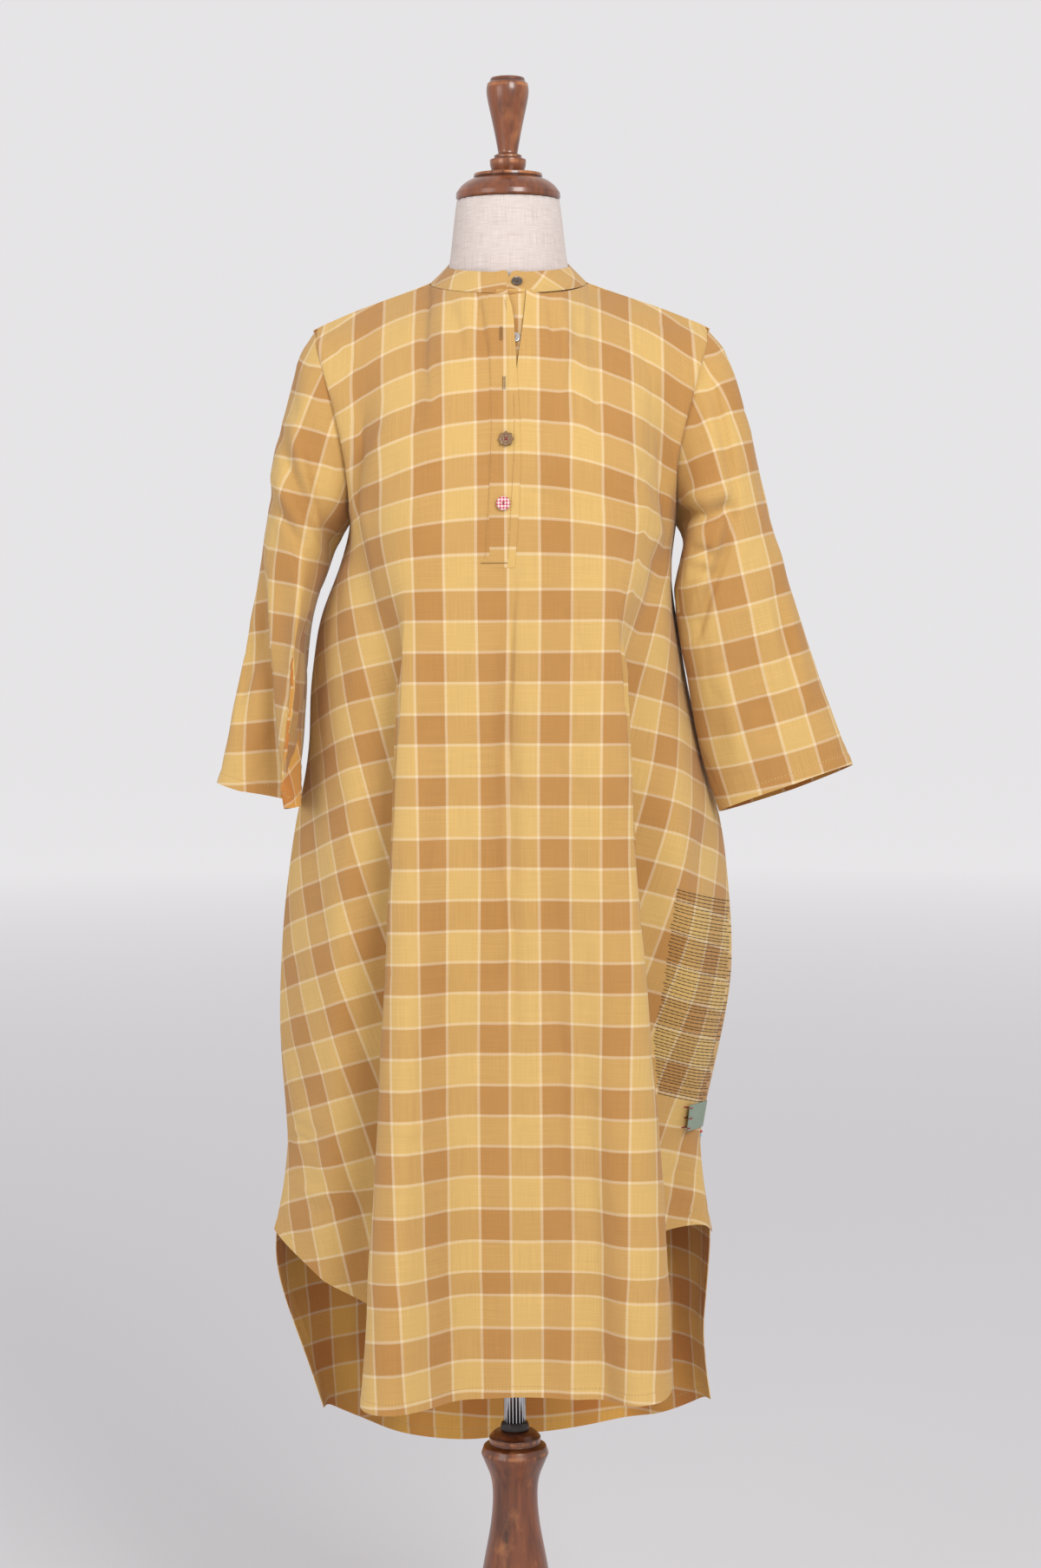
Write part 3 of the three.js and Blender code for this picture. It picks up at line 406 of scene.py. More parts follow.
def from_line(points, path):
    """Distance of each point from a path of places seen from the front, and the share of the way along it."""
    best = np.full(len(points), 1e9)
    way = np.zeros(len(points))
    side = np.zeros(len(points))
    path = np.array(path) * MM
    lengths = np.linalg.norm(np.diff(path, axis=0), axis=1)
    total = lengths.sum()
    done = 0
    for start, end, length in zip(path[:-1], path[1:], lengths):
        ahead = (end - start) / length
        offset = points[:, [0, 2]] - start
        along = np.clip(offset @ ahead, 0, length)
        away = offset - along[:, None] * ahead
        distance = np.linalg.norm(away, axis=1)
        nearer = distance < best
        best[nearer] = distance[nearer]
        way[nearer] = ((done + along) / total)[nearer]
        side[nearer] = (ahead[0] * offset[:, 1] - ahead[1] * offset[:, 0])[nearer]
        done += length
    return best, way, np.sign(side)


def open_edge(data):
    """The places of the points on a sheet's free edges."""
    uses = np.zeros(len(data.edges), int)
    for polygon in data.polygons:
        for loop in polygon.loop_indices:
            uses[data.loops[loop].edge_index] += 1
    ends = np.array([edge.vertices[:] for edge in data.edges])[uses == 1].ravel()
    return points_of(data)[np.unique(ends)]


def distance_to(points, targets):
    tree = kdtree.KDTree(len(targets))
    for i, target in enumerate(targets):
        tree.insert(target, i)
    tree.balance()
    return np.array([tree.find(point)[2] for point in points])


def away_from_edge(data, reach=14 * MM):
    """0 on a sheet's free edges, where it is sewn, and 1 beyond a reach from them."""
    return ease(np.clip(distance_to(points_of(data), open_edge(data)) / reach, 0, 1))


def crease(piece, creases, facing=-1, deeper=1.0):
    """Pushes soft troughs (depth above 0) or ridges (below 0) into a sheet where it faces -Y, or +Y."""
    data = piece.data
    points = points_of(data)
    normals = normals_of(data)
    shown = np.clip(normals[:, 1] * facing * 3 + 0.4, 0, 1)
    push = np.zeros(len(points))
    for path, depth, width, steep in creases:
        distance, way, side = from_line(points, path)
        half = width * MM * np.where(side > 0, 1 - steep, 1 + steep)
        fade = np.sin(np.pi * np.clip(way, 0, 1)) ** 0.6
        push += depth * deeper * MM * np.exp(-((distance / half) ** 2)) * fade
    put_points(data, points - normals * (push * shown * away_from_edge(data, 5 * MM))[:, None])


def rumple(piece, amount, scale, seed, crisp=0):
    """Makes a sheet a little uneven, as worn cotton is. crisp makes narrow creases in place of waves."""
    data = piece.data
    points = points_of(data)
    normals = normals_of(data)
    shift = Vector((seed * 3.1, seed * 1.7, seed * 2.3))
    waves = np.array([noise.noise(Vector((x, y, z * 0.6)) / scale + shift) for x, y, z in points])
    if crisp:
        waves = -np.exp(-np.abs(waves) * crisp)
    put_points(data, points + normals * (waves * amount * away_from_edge(data))[:, None])


def fold_hem(piece, is_hem, width=12 * MM, rise=0.7 * MM):
    """Thickens a sheet along its hem, where the edge is turned in twice and stitched."""
    data = piece.data
    points = points_of(data)
    nearest = distance_to(points, [point for point in open_edge(data) if is_hem(point)])
    fold = np.clip((width - nearest) / (2 * MM) + 0.5, 0, 1)
    groove = 0.6 * np.exp(-(((nearest - width) / (1.5 * MM)) ** 2))
    put_points(data, points + normals_of(data) * ((fold - groove) * rise)[:, None])


def round_shoulders(piece, sides=(-1, 1), reach=34 * MM, inward=3 * MM, drop=2.5 * MM):
    """Draws the shoulder corners of a sheet in and down, so that panel and sleeve meet in one soft line."""
    points = points_of(piece.data)
    for side in sides:
        tip = points[np.argmax(points[:, 0] * side + points[:, 2] * 2)].copy()
        share = np.clip(1 - np.linalg.norm(points - tip, axis=1) / reach, 0, 1) ** 1.5
        points -= share[:, None] * np.array((side * inward, 0, drop))
    put_points(piece.data, points)


FOLD_STARTS_OVER = 170 * MM  # height over which an overlap grows to its full depth


def tuck(piece, line, outward, turn, under=9 * MM, depth=4 * MM, width=11 * MM, back=34 * MM):
    """Folds a sheet behind itself along a line of (x, z) places that runs down, and turns the grain beyond.
    outward is 1 or -1, and turn is in degrees. The sheet bends over width, slides in by under, and comes
    back to its own place over back."""
    data = piece.data
    points = points_of(data)
    normals = normals_of(data)
    path = np.array(line) * MM
    height = points[:, 2]
    edge = np.interp(height, path[::-1, 1], path[::-1, 0])
    away = (points[:, 0] - edge) * outward
    below = ease(np.clip((path[0, 1] - height) / FOLD_STARTS_OVER, 0, 1))
    strength = below * np.clip(-normals[:, 1] * 3, 0, 1)
    inner = np.clip(away / width, 0, 1)
    outer = np.clip((away - width) / back, 0, 1)
    slide = inner * (width + under) * (1 - outer) * strength
    sink = np.interp(away, [0, 0.3 * width, width, width + 0.35 * back, width + back], [0, 0.4, 0.65, 1, 0])
    moved = points - normals * (sink * depth * strength)[:, None]
    moved[:, 0] -= slide * outward
    put_points(data, moved)
    corners = corners_of(data)
    flat = flat_of(data)
    pivot = flat[np.argmin(np.linalg.norm(points[corners][:, [0, 2]] - path[0], axis=1))]
    turned_share = ease(np.clip((path[0, 1] + 80 * MM - height) / (140 * MM), 0, 1))
    angle = (math.radians(turn) * inner * turned_share)[corners]
    local = flat - pivot
    local[:, 0] -= (slide * outward)[corners]
    flat = pivot + np.stack(
        [
            local[:, 0] * np.cos(angle) + local[:, 1] * np.sin(angle),
            local[:, 1] * np.cos(angle) - local[:, 0] * np.sin(angle),
        ],
        axis=1,
    )
    put_flat(data, flat)


def edge_map(piece, is_edge):
    """Gives a sheet a second UV map for stitches: the way along its edge, and the distance from it."""
    data = piece.data
    mesh = bmesh.new()
    mesh.from_mesh(data)
    free = [edge for edge in mesh.edges if len(edge.link_faces) == 1]
    left = {edge for edge in free if all(is_edge(v.co) for v in edge.verts)}
    places = []
    ahead = []
    ways = []
    while left:
        ends = [v for edge in left for v in edge.verts if sum(other in left for other in v.link_edges) == 1]
        corner = min(ends or [v for edge in left for v in edge.verts], key=lambda v: v.index)
        way = 0
        while True:
            edge = next((edge for edge in corner.link_edges if edge in left), None)
            if edge is None:
                break
            left.discard(edge)
            after = edge.other_vert(corner)
            places.append(corner.co.copy())
            ahead.append((after.co - corner.co).normalized())
            ways.append(way)
            way += edge.calc_length()
            corner = after
    mesh.free()
    tree = kdtree.KDTree(len(places))
    for i, place in enumerate(places):
        tree.insert(place, i)
    tree.balance()
    found = np.zeros((len(data.vertices), 2))
    for vertex in data.vertices:
        place, i, _ = tree.find(vertex.co)
        offset = vertex.co - place
        step = offset.dot(ahead[i])
        found[vertex.index] = (ways[i] + step, (offset - ahead[i] * step).length)
    main = data.uv_layers.active.name
    data.uv_layers.new(name="edge").data.foreach_set("uv", found[corners_of(data)].ravel())
    data.uv_layers.active = data.uv_layers[main]


def finish_cloth(piece, material, cad, thickness=CLOTH_THICKNESS):
    piece.data.materials.clear()
    piece.data.materials.append(material)
    # The inner faces take the deeper orange copy of the check, which is painted light shining through the
    # cloth.
    piece.data.materials.append(inside_check_painted_through_light)
    apply_modifier(piece, "SOLIDIFY", thickness=thickness, offset=-1, material_offset=1)
    show_only(piece)
    bpy.ops.object.shade_smooth_by_angle(angle=math.radians(50))
    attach(piece, "root")
    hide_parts(cad)


# Creases as seen from the front in mm: path of (x, z) places, depth, half width, how much steeper a side is.
FRONT_CREASES = (
    (((6, 1284), (1, 1206), (-2, 1122), (-4, 1031), (-2, 930)), 7, 9, 0.75),
    (((14, 1280), (13, 1206), (10, 1122), (6, 1031), (8, 930)), -2, 14, 0),
    (((-22, 1276), (-24, 1206), (-26, 1122), (-28, 1000)), -1.5, 16, 0),
    (((-32, 1558), (-26, 1525), (-21, 1490)), 4, 6, 0.5),
    (((-42, 1556), (-38, 1525), (-34, 1480)), -3, 7, 0),
    (((-58, 1552), (-51, 1523), (-48, 1496)), 2.5, 6, 0.3),
    (((39, 1558), (42, 1526), (45, 1490)), 3.5, 6, -0.5),
    (((50, 1556), (53, 1520), (56, 1480)), -2.5, 7, 0),
    (((64, 1554), (68, 1520), (72, 1492)), 2, 6, 0),
    (((24, 1556), (26, 1530), (28, 1500)), 1.5, 6, 0),
    (((212, 1462), (199, 1403), (181, 1343), (173, 1290)), 6, 12, 0.3),
    (((190, 1500), (178, 1430), (166, 1370), (158, 1310)), -4, 14, 0),
    (((182, 1477), (164, 1418), (150, 1367), (146, 1320)), 4, 12, 0.2),
    (((108, 1415), (134, 1358), (150, 1316), (158, 1270)), -3.5, 10, 0.4),
    (((-192, 1453), (-182, 1383), (-171, 1332), (-164, 1285)), 6, 12, -0.3),
    (((-172, 1480), (-164, 1420), (-156, 1360), (-150, 1310)), -4, 14, 0),
    (((-108, 1441), (-135, 1399), (-148, 1349), (-156, 1290)), -3.5, 10, -0.4),
    (((40, 1000), (44, 860), (49, 697), (60, 611), (75, 500)), 4, 14, 0.4),
    (((60, 960), (66, 800), (72, 650), (88, 500)), -2.5, 16, 0),
    (((-60, 1180), (-66, 1000), (-74, 800), (-80, 560)), 2.5, 22, 0),
    (((-96, 910), (-104, 782), (-110, 653), (-112, 549)), -2, 12, 0),
    (((18, 900), (22, 760), (20, 620), (26, 500)), -2, 18, 0),
    (((-30, 860), (-34, 700), (-30, 520)), 2, 20, 0),
    (((96, 1160), (104, 1020), (112, 900)), 2, 10, 0),
    (((-127, 735), (-102, 729), (-79, 733)), 1.2, 4, 0),
    (((-120, 742), (-100, 740), (-76, 744)), -1, 4, 0),
    (((-233, 703), (-218, 709), (-200, 702)), 2, 4, 0),
    (((-228, 723), (-206, 716), (-190, 720)), 1.8, 4, 0),
    (((-212, 631), (-188, 642), (-170, 640)), 1.8, 5, 0),
    (((-225, 660), (-200, 650), (-176, 662)), -1.6, 6, 0),
    (((-55, 568), (13, 576), (65, 566)), 1.0, 8, 0),
    (((150, 660), (170, 672), (192, 664)), 1.6, 5, 0),
    (((146, 640), (168, 648), (196, 636)), -1.4, 6, 0),
    (((205, 1040), (190, 1000), (178, 940)), 2.5, 9, 0),
    (((-215, 1080), (-200, 1000), (-190, 900)), 2.5, 12, 0),
    (((-180, 1240), (-172, 1160), (-170, 1060)), -3, 14, 0),
    (((160, 1240), (164, 1150), (170, 1060)), -3, 12, 0),
)
LEFT_FOLD = ((-99, 1290), (-103, 1248), (-118, 990), (-133, 737), (-154, 465))
RIGHT_FOLD = ((101, 1290), (105, 1249), (124, 1010), (140, 795), (160, 504), (163, 465))
VENT_Z = 0.609  # the side seams end here
front = new_piece("front_cloth", outer_sheet("front"))
join_thin_rows(front, 8 * MM)
unwrap(front)
straighten(front, (0, -0.127, 1.28), (0, -0.127, 0.468))
hang_grain(front, 1.24, 1.38)
smooth_sheet(front, 2)
split_rows(front)
tuck(front, LEFT_FOLD, -1, 8)
tuck(front, RIGHT_FOLD, 1, -9)
round_shoulders(front)
crease(front, FRONT_CREASES)
rumple(front, 1.1 * MM, 0.07, 1)
rumple(front, 0.7 * MM, 0.024, 2)
rumple(front, 1.1 * MM, 0.075, 9, crisp=14)
fold_hem(front, lambda place: place[2] < VENT_Z and place[1] < 0.02)
edge_map(front, lambda place: place[2] < VENT_Z)
front_surface = BVHTree.FromObject(front, bpy.context.evaluated_depsgraph_get())
front_check = woven_check("check cotton, front", (32.6, 49.4))
# Painted light: the inner faces' copy of the check is deeper orange, as if lit through the cloth.
inside_check_painted_through_light = woven_check("check cotton, inside, painted through-light", (32.6, 49.4), INSIDE_YELLOW_PAINTED_THROUGH_LIGHT, INSIDE_TAN_PAINTED_THROUGH_LIGHT)
finish_cloth(front, front_check, "front")

# Back panel of the same cotton, in one piece and longer than the front, with a curved hem. Its edges hang
# free below the vents. The photograph hides most of it, so its folds are like the front's but softer.
BACK_CREASES = (
    (((-60, 1560), (-64, 1500), (-70, 1420)), 2.5, 14, 0),
    (((60, 1560), (64, 1500), (70, 1420)), 2.5, 14, 0),
    (((0, 1480), (6, 1300), (2, 1100), (8, 900)), 3, 26, 0),
    (((-90, 1250), (-96, 1050), (-104, 800), (-110, 500)), 3.5, 20, 0.2),
    (((84, 1280), (92, 1050), (100, 780), (104, 480)), 3.5, 20, -0.2),
    (((40, 1100), (46, 860), (40, 600), (44, 420)), -2.5, 20, 0),
    (((-40, 1060), (-36, 820), (-42, 560), (-38, 400)), -2.5, 22, 0),
    (((-178, 1470), (-160, 1400), (-146, 1330)), 5, 14, 0.3),
    (((180, 1470), (164, 1400), (150, 1330)), 5, 14, -0.3),
    (((-170, 1200), (-160, 1120), (-168, 1000)), 3, 12, 0),
    (((168, 1190), (160, 1110), (170, 1000)), 3, 12, 0),
    (((-150, 640), (-156, 540), (-158, 440)), -3, 12, 0),
    (((160, 700), (164, 560), (170, 450)), -3, 12, 0),
)
back = new_piece("back_cloth", outer_sheet("back"))
unwrap(back)
straighten(back, (0, 0.108, 1.325), (0, 0.1, 0.364))
smooth_sheet(back, 3)
round_shoulders(back)
crease(back, BACK_CREASES, facing=1, deeper=1.6)
rumple(back, 1.4 * MM, 0.08, 3)
rumple(back, 0.7 * MM, 0.024, 4)
rumple(back, 1.1 * MM, 0.08, 10, crisp=14)
fold_hem(back, lambda place: place[2] < VENT_Z)
edge_map(back, lambda place: place[2] < VENT_Z)
finish_cloth(back, front_check, "back")

# Sleeves of the same cotton, wide and three-quarter long, set into dropped armholes. Each is sewn shut along
# its lower line. The left one folds over itself.
SLEEVE_SEAMS = {
    "right": (
        (168, 1325),
        (176, 1318),
        (177, 1300),
        (173, 1264),
        (176, 1228),
        (185, 1182),
        (193, 1133),
        (204, 1086),
        (220, 1040),
    ),
    "left": (
        (-163, 1325),
        (-172, 1317),
        (-181, 1296),
        (-196, 1262),
        (-204, 1234),
        (-209, 1200),
        (-211, 1160),
        (-216, 1104),
        (-223, 1046),
    ),
}
SLEEVE_CREASES = {
    "right": (
        (((166, 1343), (191, 1339), (228, 1347)), 6.5, 7, 0.4),
        (((172, 1357), (195, 1355), (224, 1361)), -3, 7, 0),
        (((224, 1344), (214, 1300), (197, 1257), (184, 1210)), 5, 8, 0.6),
        (((214, 1340), (204, 1300), (189, 1262), (180, 1236)), -4, 8, 0),
        (((198, 1490), (213, 1420), (223, 1369), (224, 1318)), 4, 10, 0.6),
        (((190, 1470), (202, 1420), (211, 1375), (214, 1350)), -3, 9, 0),
        (((178, 1304), (194, 1302), (210, 1294)), 3, 5, 0.3),
        (((176, 1282), (190, 1284), (204, 1276)), 2.5, 5, 0),
        (((262, 1270), (275, 1214), (286, 1155)), 2.2, 6, 0),
        (((276, 1262), (288, 1200), (300, 1140)), -1.6, 7, 0),
        (((236, 1240), (246, 1180), (256, 1110)), 2, 12, 0),
        (((212, 1190), (222, 1130), (232, 1080)), -2, 10, 0),
        (((245, 1420), (256, 1370), (266, 1300)), 1.8, 8, 0),
    ),
    "left": (
        (((-203, 1428), (-192, 1366), (-176, 1318), (-168, 1280)), 4, 8, -0.4),
        (((-234, 1430), (-214, 1370), (-186, 1320), (-172, 1285)), 4.5, 8, -0.4),
        (((-222, 1440), (-204, 1380), (-182, 1326)), -3.5, 8, 0),
        (((-249, 1372), (-216, 1323), (-184, 1286)), 3.5, 8, -0.3),
        (((-244, 1390), (-222, 1350), (-196, 1306)), -2.5, 8, 0),
        (((-200, 1244), (-208, 1210), (-220, 1160), (-224, 1080)), 4, 8, -0.5),
        (((-236, 1310), (-236, 1240), (-232, 1150), (-228, 1080)), -2, 10, 0),
        (((-262, 1230), (-272, 1160), (-280, 1100)), 2, 9, 0),
        (((-215, 1490), (-222, 1440), (-226, 1400)), 2, 10, 0),
    ),
}
LEFT_SLEEVE_FOLD = ((-243, 1330), (-243, 1240), (-238, 1150), (-230, 1050))
UNDERARM_Z = 1.335
SLEEVE_MIDDLE_Z = 1.2  # between the armhole and the cuff


def draw_in(sleeve, seam, sign, amount, reach=75 * MM):
    """Draws the lower line of a sleeve towards the body, so that the two hang close together."""
    points = points_of(sleeve.data)
    path = np.array(seam) * MM
    inner = np.interp(points[:, 2], path[::-1, 1], path[::-1, 0])
    near = np.clip(1 - np.abs(points[:, 0] - inner) / reach, 0, 1)
    hanging = np.clip((UNDERARM_Z - points[:, 2]) / 0.07, 0, 1)
    points[:, 0] -= sign * amount * near * hanging
    put_points(sleeve.data, points)


def tuck_head(sleeve, amount=5 * MM, depth=0.6 * MM):
    """Slides the top edge of a sleeve up a little way under the panels it is sewn to."""
    data = sleeve.data
    points = points_of(data)
    edge = open_edge(data)
    head = edge[edge[:, 2] > 1.3]
    cuff = edge[edge[:, 2] < SLEEVE_MIDDLE_Z]
    ahead = head.mean(axis=0) - cuff.mean(axis=0)
    ahead /= np.linalg.norm(ahead)
    share = np.clip(1 - distance_to(points, head) / (12 * MM), 0, 1)
    sunk = normals_of(data) * (np.sqrt(share) * depth)[:, None]
    put_points(data, points + (share * amount)[:, None] * ahead - sunk)


for side, shift in (("right", (10, 20)), ("left", (0, 10))):
    sleeve = new_piece(f"sleeve_{side}_cloth", outer_sheet(f"sleeve_{side}"))
    seam = SLEEVE_SEAMS[side]

    def on_seam(*ends):
        return max(from_line(np.array([end[:] for end in ends]), seam)[0]) < 3.4 * MM

    sign = 1 if side == "right" else -1
    tip = (0.203 * sign, 0.003, 1.525)
    cuff = (0.345, -0.016, 1.086) if side == "right" else (-0.299, 0.002, 1.07)
    unwrap(sleeve, on_seam)
    straighten(sleeve, tip, cuff)
    smooth_sheet(sleeve, 3)
    if side == "left":
        tuck(sleeve, LEFT_SLEEVE_FOLD, -1, 10, under=12 * MM, depth=9 * MM)
    tuck_head(sleeve)
    round_shoulders(sleeve, (sign,), reach=30 * MM, inward=1 * MM, drop=6 * MM)
    draw_in(sleeve, seam, sign, 9 * MM if side == "right" else 4 * MM)
    deeper = 1.8 if side == "right" else 1.5
    crease(sleeve, SLEEVE_CREASES[side], deeper=deeper)
    rumple(sleeve, 1.0 * MM, 0.05, 5)
    rumple(sleeve, 0.6 * MM, 0.02, 6)
    rumple(sleeve, 1.0 * MM, 0.05, 12, crisp=12)
    fold_hem(sleeve, lambda place: place[2] < SLEEVE_MIDDLE_Z)
    edge_map(sleeve, lambda place: place[2] < SLEEVE_MIDDLE_Z)
    sleeve_check = woven_check(f"check cotton, {side} sleeve", shift)
    finish_cloth(sleeve, sleeve_check, f"sleeve_{side}")

# Band collar: two layers of the check sewn to the neckline. It stands and leans in, and its rounded ends meet
# over the slit.
COLLAR_DROP = 0.9 * MM  # brings the band down onto the neckline
COLLAR_NARROWING = 0.055  # share by which its top is drawn in towards the neck
LEFT_END_SHIFT = 8 * MM
RIGHT_END_SHIFT = -6 * MM
collar = new_piece("collar_cloth", outer_sheet("collar", COLLAR_RIM_FACE))
unwrap(collar)
straighten(collar, (0.079, 0.003, 1.589), (0.079, 0.003, 1.573))
band = points_of(collar.data) - (0, 0, COLLAR_DROP)
band[:, 0] *= 1 - COLLAR_NARROWING * np.clip((band[:, 2] - 1.575) / 0.03, 0, 1)
higher = np.clip((band[:, 2] - 1.552) / 0.016, 0, 1) * (band[:, 1] < -0.05)
left_end = band[:, 0] < 0.0005
near_end = np.clip((0.026 - np.abs(band[:, 0])) / 0.016, 0, 1)
band[:, 0] += higher * near_end * np.where(left_end, LEFT_END_SHIFT, RIGHT_END_SHIFT)
put_points(collar.data, band)
smooth_sheet(collar, 3)
rumple(collar, 0.5 * MM, 0.03, 7)
finish_cloth(collar, woven_check("check cotton, collar", (5, 12)), "collar", 1.6 * MM)

# Placket strips of the check, sewn on over and under the slit. The upper one runs down from the neck to a bar
# of stitches, and the lower one shows in the slit.
STRIP_EDGE = ((1.287, 0.002), (1.41, 0.007), (1.49, 0.006), (1.554, -0.002))  # (z, x) places of its free edge


def lay_on_front(strip, lift=0.7 * MM, width=24 * MM):
    """Keeps a strip on top of the front panel. It rises towards its free edge."""
    points = points_of(strip.data)
    for point in points:
        place, _, _, _ = front_surface.ray_cast(Vector((point[0], -1, point[2])), Vector((0, 1, 0)))
        if place:
            from_edge = np.interp(point[2], *zip(*STRIP_EDGE)) - point[0]
            share = min(max(1 - from_edge / width, 0), 1)
            point[1] = place.y - lift * (0.2 + 0.8 * share)
    put_points(strip.data, points)


for name, cad, flat, shift in (
    ("placket_over_cloth", "placket_over", (0.03, 0.27), (34.6, 49.4)),
    ("placket_under_cloth", "placket_under", (0.036, 0.155), (20, 40)),
):
    strip = new_piece(name, outer_sheet(cad))
    strip.data.uv_layers.new(name="UV")
    put_flat(strip.data, points_of(strip.data)[corners_of(strip.data)][:, [0, 2]])
    apply_modifier(strip, "SUBSURF", levels=3, render_levels=3, subdivision_type="SIMPLE")
    if cad == "placket_over":
        lay_on_front(strip)
    else:
        raised = points_of(strip.data)
        top = np.clip((raised[:, 2] - 1.53) / 0.02, 0, 1)
        raised += top[:, None] * np.array((0, 2.5 * MM, 7 * MM))  # its upper end runs up behind the collar
        put_points(strip.data, raised)
    strip_check = woven_check(f"check cotton, {cad}", shift)
    finish_cloth(strip, strip_check, cad, 0.8 * MM)


# Dress form: a padded body without limbs, covered in natural linen. The linen's threads are uneven and run
# round the body, and it ends under the wooden cap.
def smooth_copy(name, cad, levels, keen=0.0, sharp_from=28):
    """A rounder copy of a solid. keen says how far its sharp edges stay sharp."""
    mesh = bmesh.new()
    mesh.from_mesh(nodes[cad].data)
    bmesh.ops.remove_doubles(mesh, verts=mesh.verts, dist=0.01 * MM)
    bmesh.ops.dissolve_limit(mesh, angle_limit=math.radians(1), verts=mesh.verts, edges=mesh.edges)
    bmesh.ops.join_triangles(mesh, faces=mesh.faces, angle_face_threshold=1.2, angle_shape_threshold=3.1)
    sharpness = mesh.edges.layers.float.new("crease_edge")
    for edge in mesh.edges:
        if len(edge.link_faces) == 2 and edge.calc_face_angle() > math.radians(sharp_from):
            edge[sharpness] = keen
    data = bpy.data.meshes.new(name)
    mesh.to_mesh(data)
    mesh.free()
    piece = new_piece(name, data)
    apply_modifier(piece, "SUBSURF", levels=levels, render_levels=levels)
    return piece


def finish_solid(piece, material, cad, angle=40):
    show_only(piece)
    bpy.ops.object.shade_smooth_by_angle(angle=math.radians(angle))
    piece.data.materials.clear()
    piece.data.materials.append(material)
    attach(piece, "root")
    if cad:
        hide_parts(cad)


linen = Finish("natural linen")
side_to_side, depth, height = linen.axes(linen.place("Object"))
turn = linen.node("ShaderNodeMath", {"operation": "ARCTAN2"}, {0: depth, 1: side_to_side})
around = linen.node("ShaderNodeCombineXYZ", {}, {0: turn * 0.07, 1: height, 2: 0})
weft = linen.speckle(around, 1500, (0.03, 1, 1), 2)
warp = linen.speckle(around, 1500, (1, 0.03, 1), 2)
slub = linen.speckle(around, 260, (0.05, 1, 1), 3)
stain = linen.speckle(linen.place("Object"), 11, (1, 1, 1), 4)
threads = weft * 0.5 + warp * 0.5
flax = linen.mix(((threads - 0.36) * 2.8).limited(), (0.46, 0.395, 0.365), (0.71, 0.635, 0.605))
flax = linen.mix(((slub - 0.56) * 5).limited() * 0.4, flax, (0.44, 0.35, 0.31))
flax = linen.mix((stain * 0.3).limited(), flax, (0.66, 0.58, 0.55))
linen.set(Base_Color=flax, Roughness=0.92, Sheen_Weight=0.15)
linen.shader.inputs["Specular IOR Level"].default_value = 0.15
linen.bump(threads + slub * 0.5, 0.5 * MM, 0.6)
body = smooth_copy("form_linen", "form_body", 2, 0.6, 60)
finish_solid(body, linen.material, "form_body")

# Stained wood: the turned cap with its handle, the turned column, and three curved legs let into its hub.
# The colour is darker in a band at each groove, and the stain is worn paler on the edges, under a varnish.
GRAIN_DARK = (0.048, 0.012, 0.004)
GRAIN_MIDDLE = (0.22, 0.058, 0.014)
GRAIN_WORN = (0.46, 0.17, 0.048)
CAP_GROOVES = (1675.8, 1681.2, 1695.6, 1699.2, 1771.4)
CAP_EDGES = (1679, 1691, 1697, 1767)
COLUMN_GROOVES = (158, 181, 384, 392)
COLUMN_EDGES = (168, 376, 389)


def stained_wood(name, grooves, edges, across=False):
    """Wood with long uneven grain, darker in a band at each groove. The stain is rubbed off the edges."""
    finish = Finish(name)
    place = finish.place("Object")
    stretch = (0.12, 0.12, 1) if across else (1, 1, 0.1)
    bend = finish.speckle(place, 14, (1, 1, 1), 2)
    streak = finish.speckle(place, 190, stretch, 5)
    broad = finish.speckle(place, 34, stretch, 4)
    blotch = finish.speckle(place, 48, (1, 1, 0.7), 3)
    _, _, height = finish.axes(place)
    tone = ((streak * 0.5 + broad * 0.7 + bend * 0.3 - 0.52) * 2.6).limited()
    wood = finish.mix(tone, GRAIN_DARK, GRAIN_MIDDLE)
    wood = finish.mix(((blotch - 0.56) * 5).limited() * 0.5, wood, GRAIN_WORN)
    for level in edges:
        near = (1 - ((height - level * MM) / (2.6 * MM)).size()).limited()
        wood = finish.mix(near * ((blotch + streak - 0.86) * 3.5).limited() * 0.85, wood, GRAIN_WORN)
    for level in grooves:
        near = (1 - ((height - level * MM) / (2.2 * MM)).size()).limited()
        wood = finish.mix(near * 0.8, wood, GRAIN_DARK)
    finish.set(Base_Color=wood, Roughness=streak * 0.25 + 0.22, Coat_Weight=0.4, Coat_Roughness=0.14)
    finish.bump(streak * 0.6 + broad * 0.4, 0.6 * MM, 0.25)
    return finish.material


cap_wood = stained_wood("stained wood, cap", CAP_GROOVES, CAP_EDGES)
column_wood = stained_wood("stained wood, column", COLUMN_GROOVES, COLUMN_EDGES)
leg_wood = stained_wood("stained wood, legs", (), (), True)
finish_solid(smooth_copy("form_cap_wood", "form_cap", 3, 0.75), cap_wood, "form_cap")
column = smooth_copy("stand_column_wood", "stand_column", 3, 0.75)
finish_solid(column, column_wood, "stand_column")
for number in (1, 2, 3):
    leg = smooth_copy(f"stand_leg_{number}_wood", f"stand_leg_{number}", 2, 0.5)
    finish_solid(leg, leg_wood, f"stand_leg_{number}")

# Chrome pole: a polished tube that runs from the form down into the column. A near-black ring round it
# at the column's top is painted shadow in the hole.
chrome = Finish("chrome")
smear = chrome.speckle(chrome.place("Object"), 24, (1, 1, 0.3), 1)
chrome.set(Base_Color=chrome.mix(smear, (0.46, 0.46, 0.48), (0.60, 0.60, 0.62)), Metallic=1.0)
chrome.set(Roughness=smear * 0.1 + 0.12)
finish_solid(smooth_copy("pole_chrome", "stand_pole", 2, 1.0), chrome.material, "stand_pole")


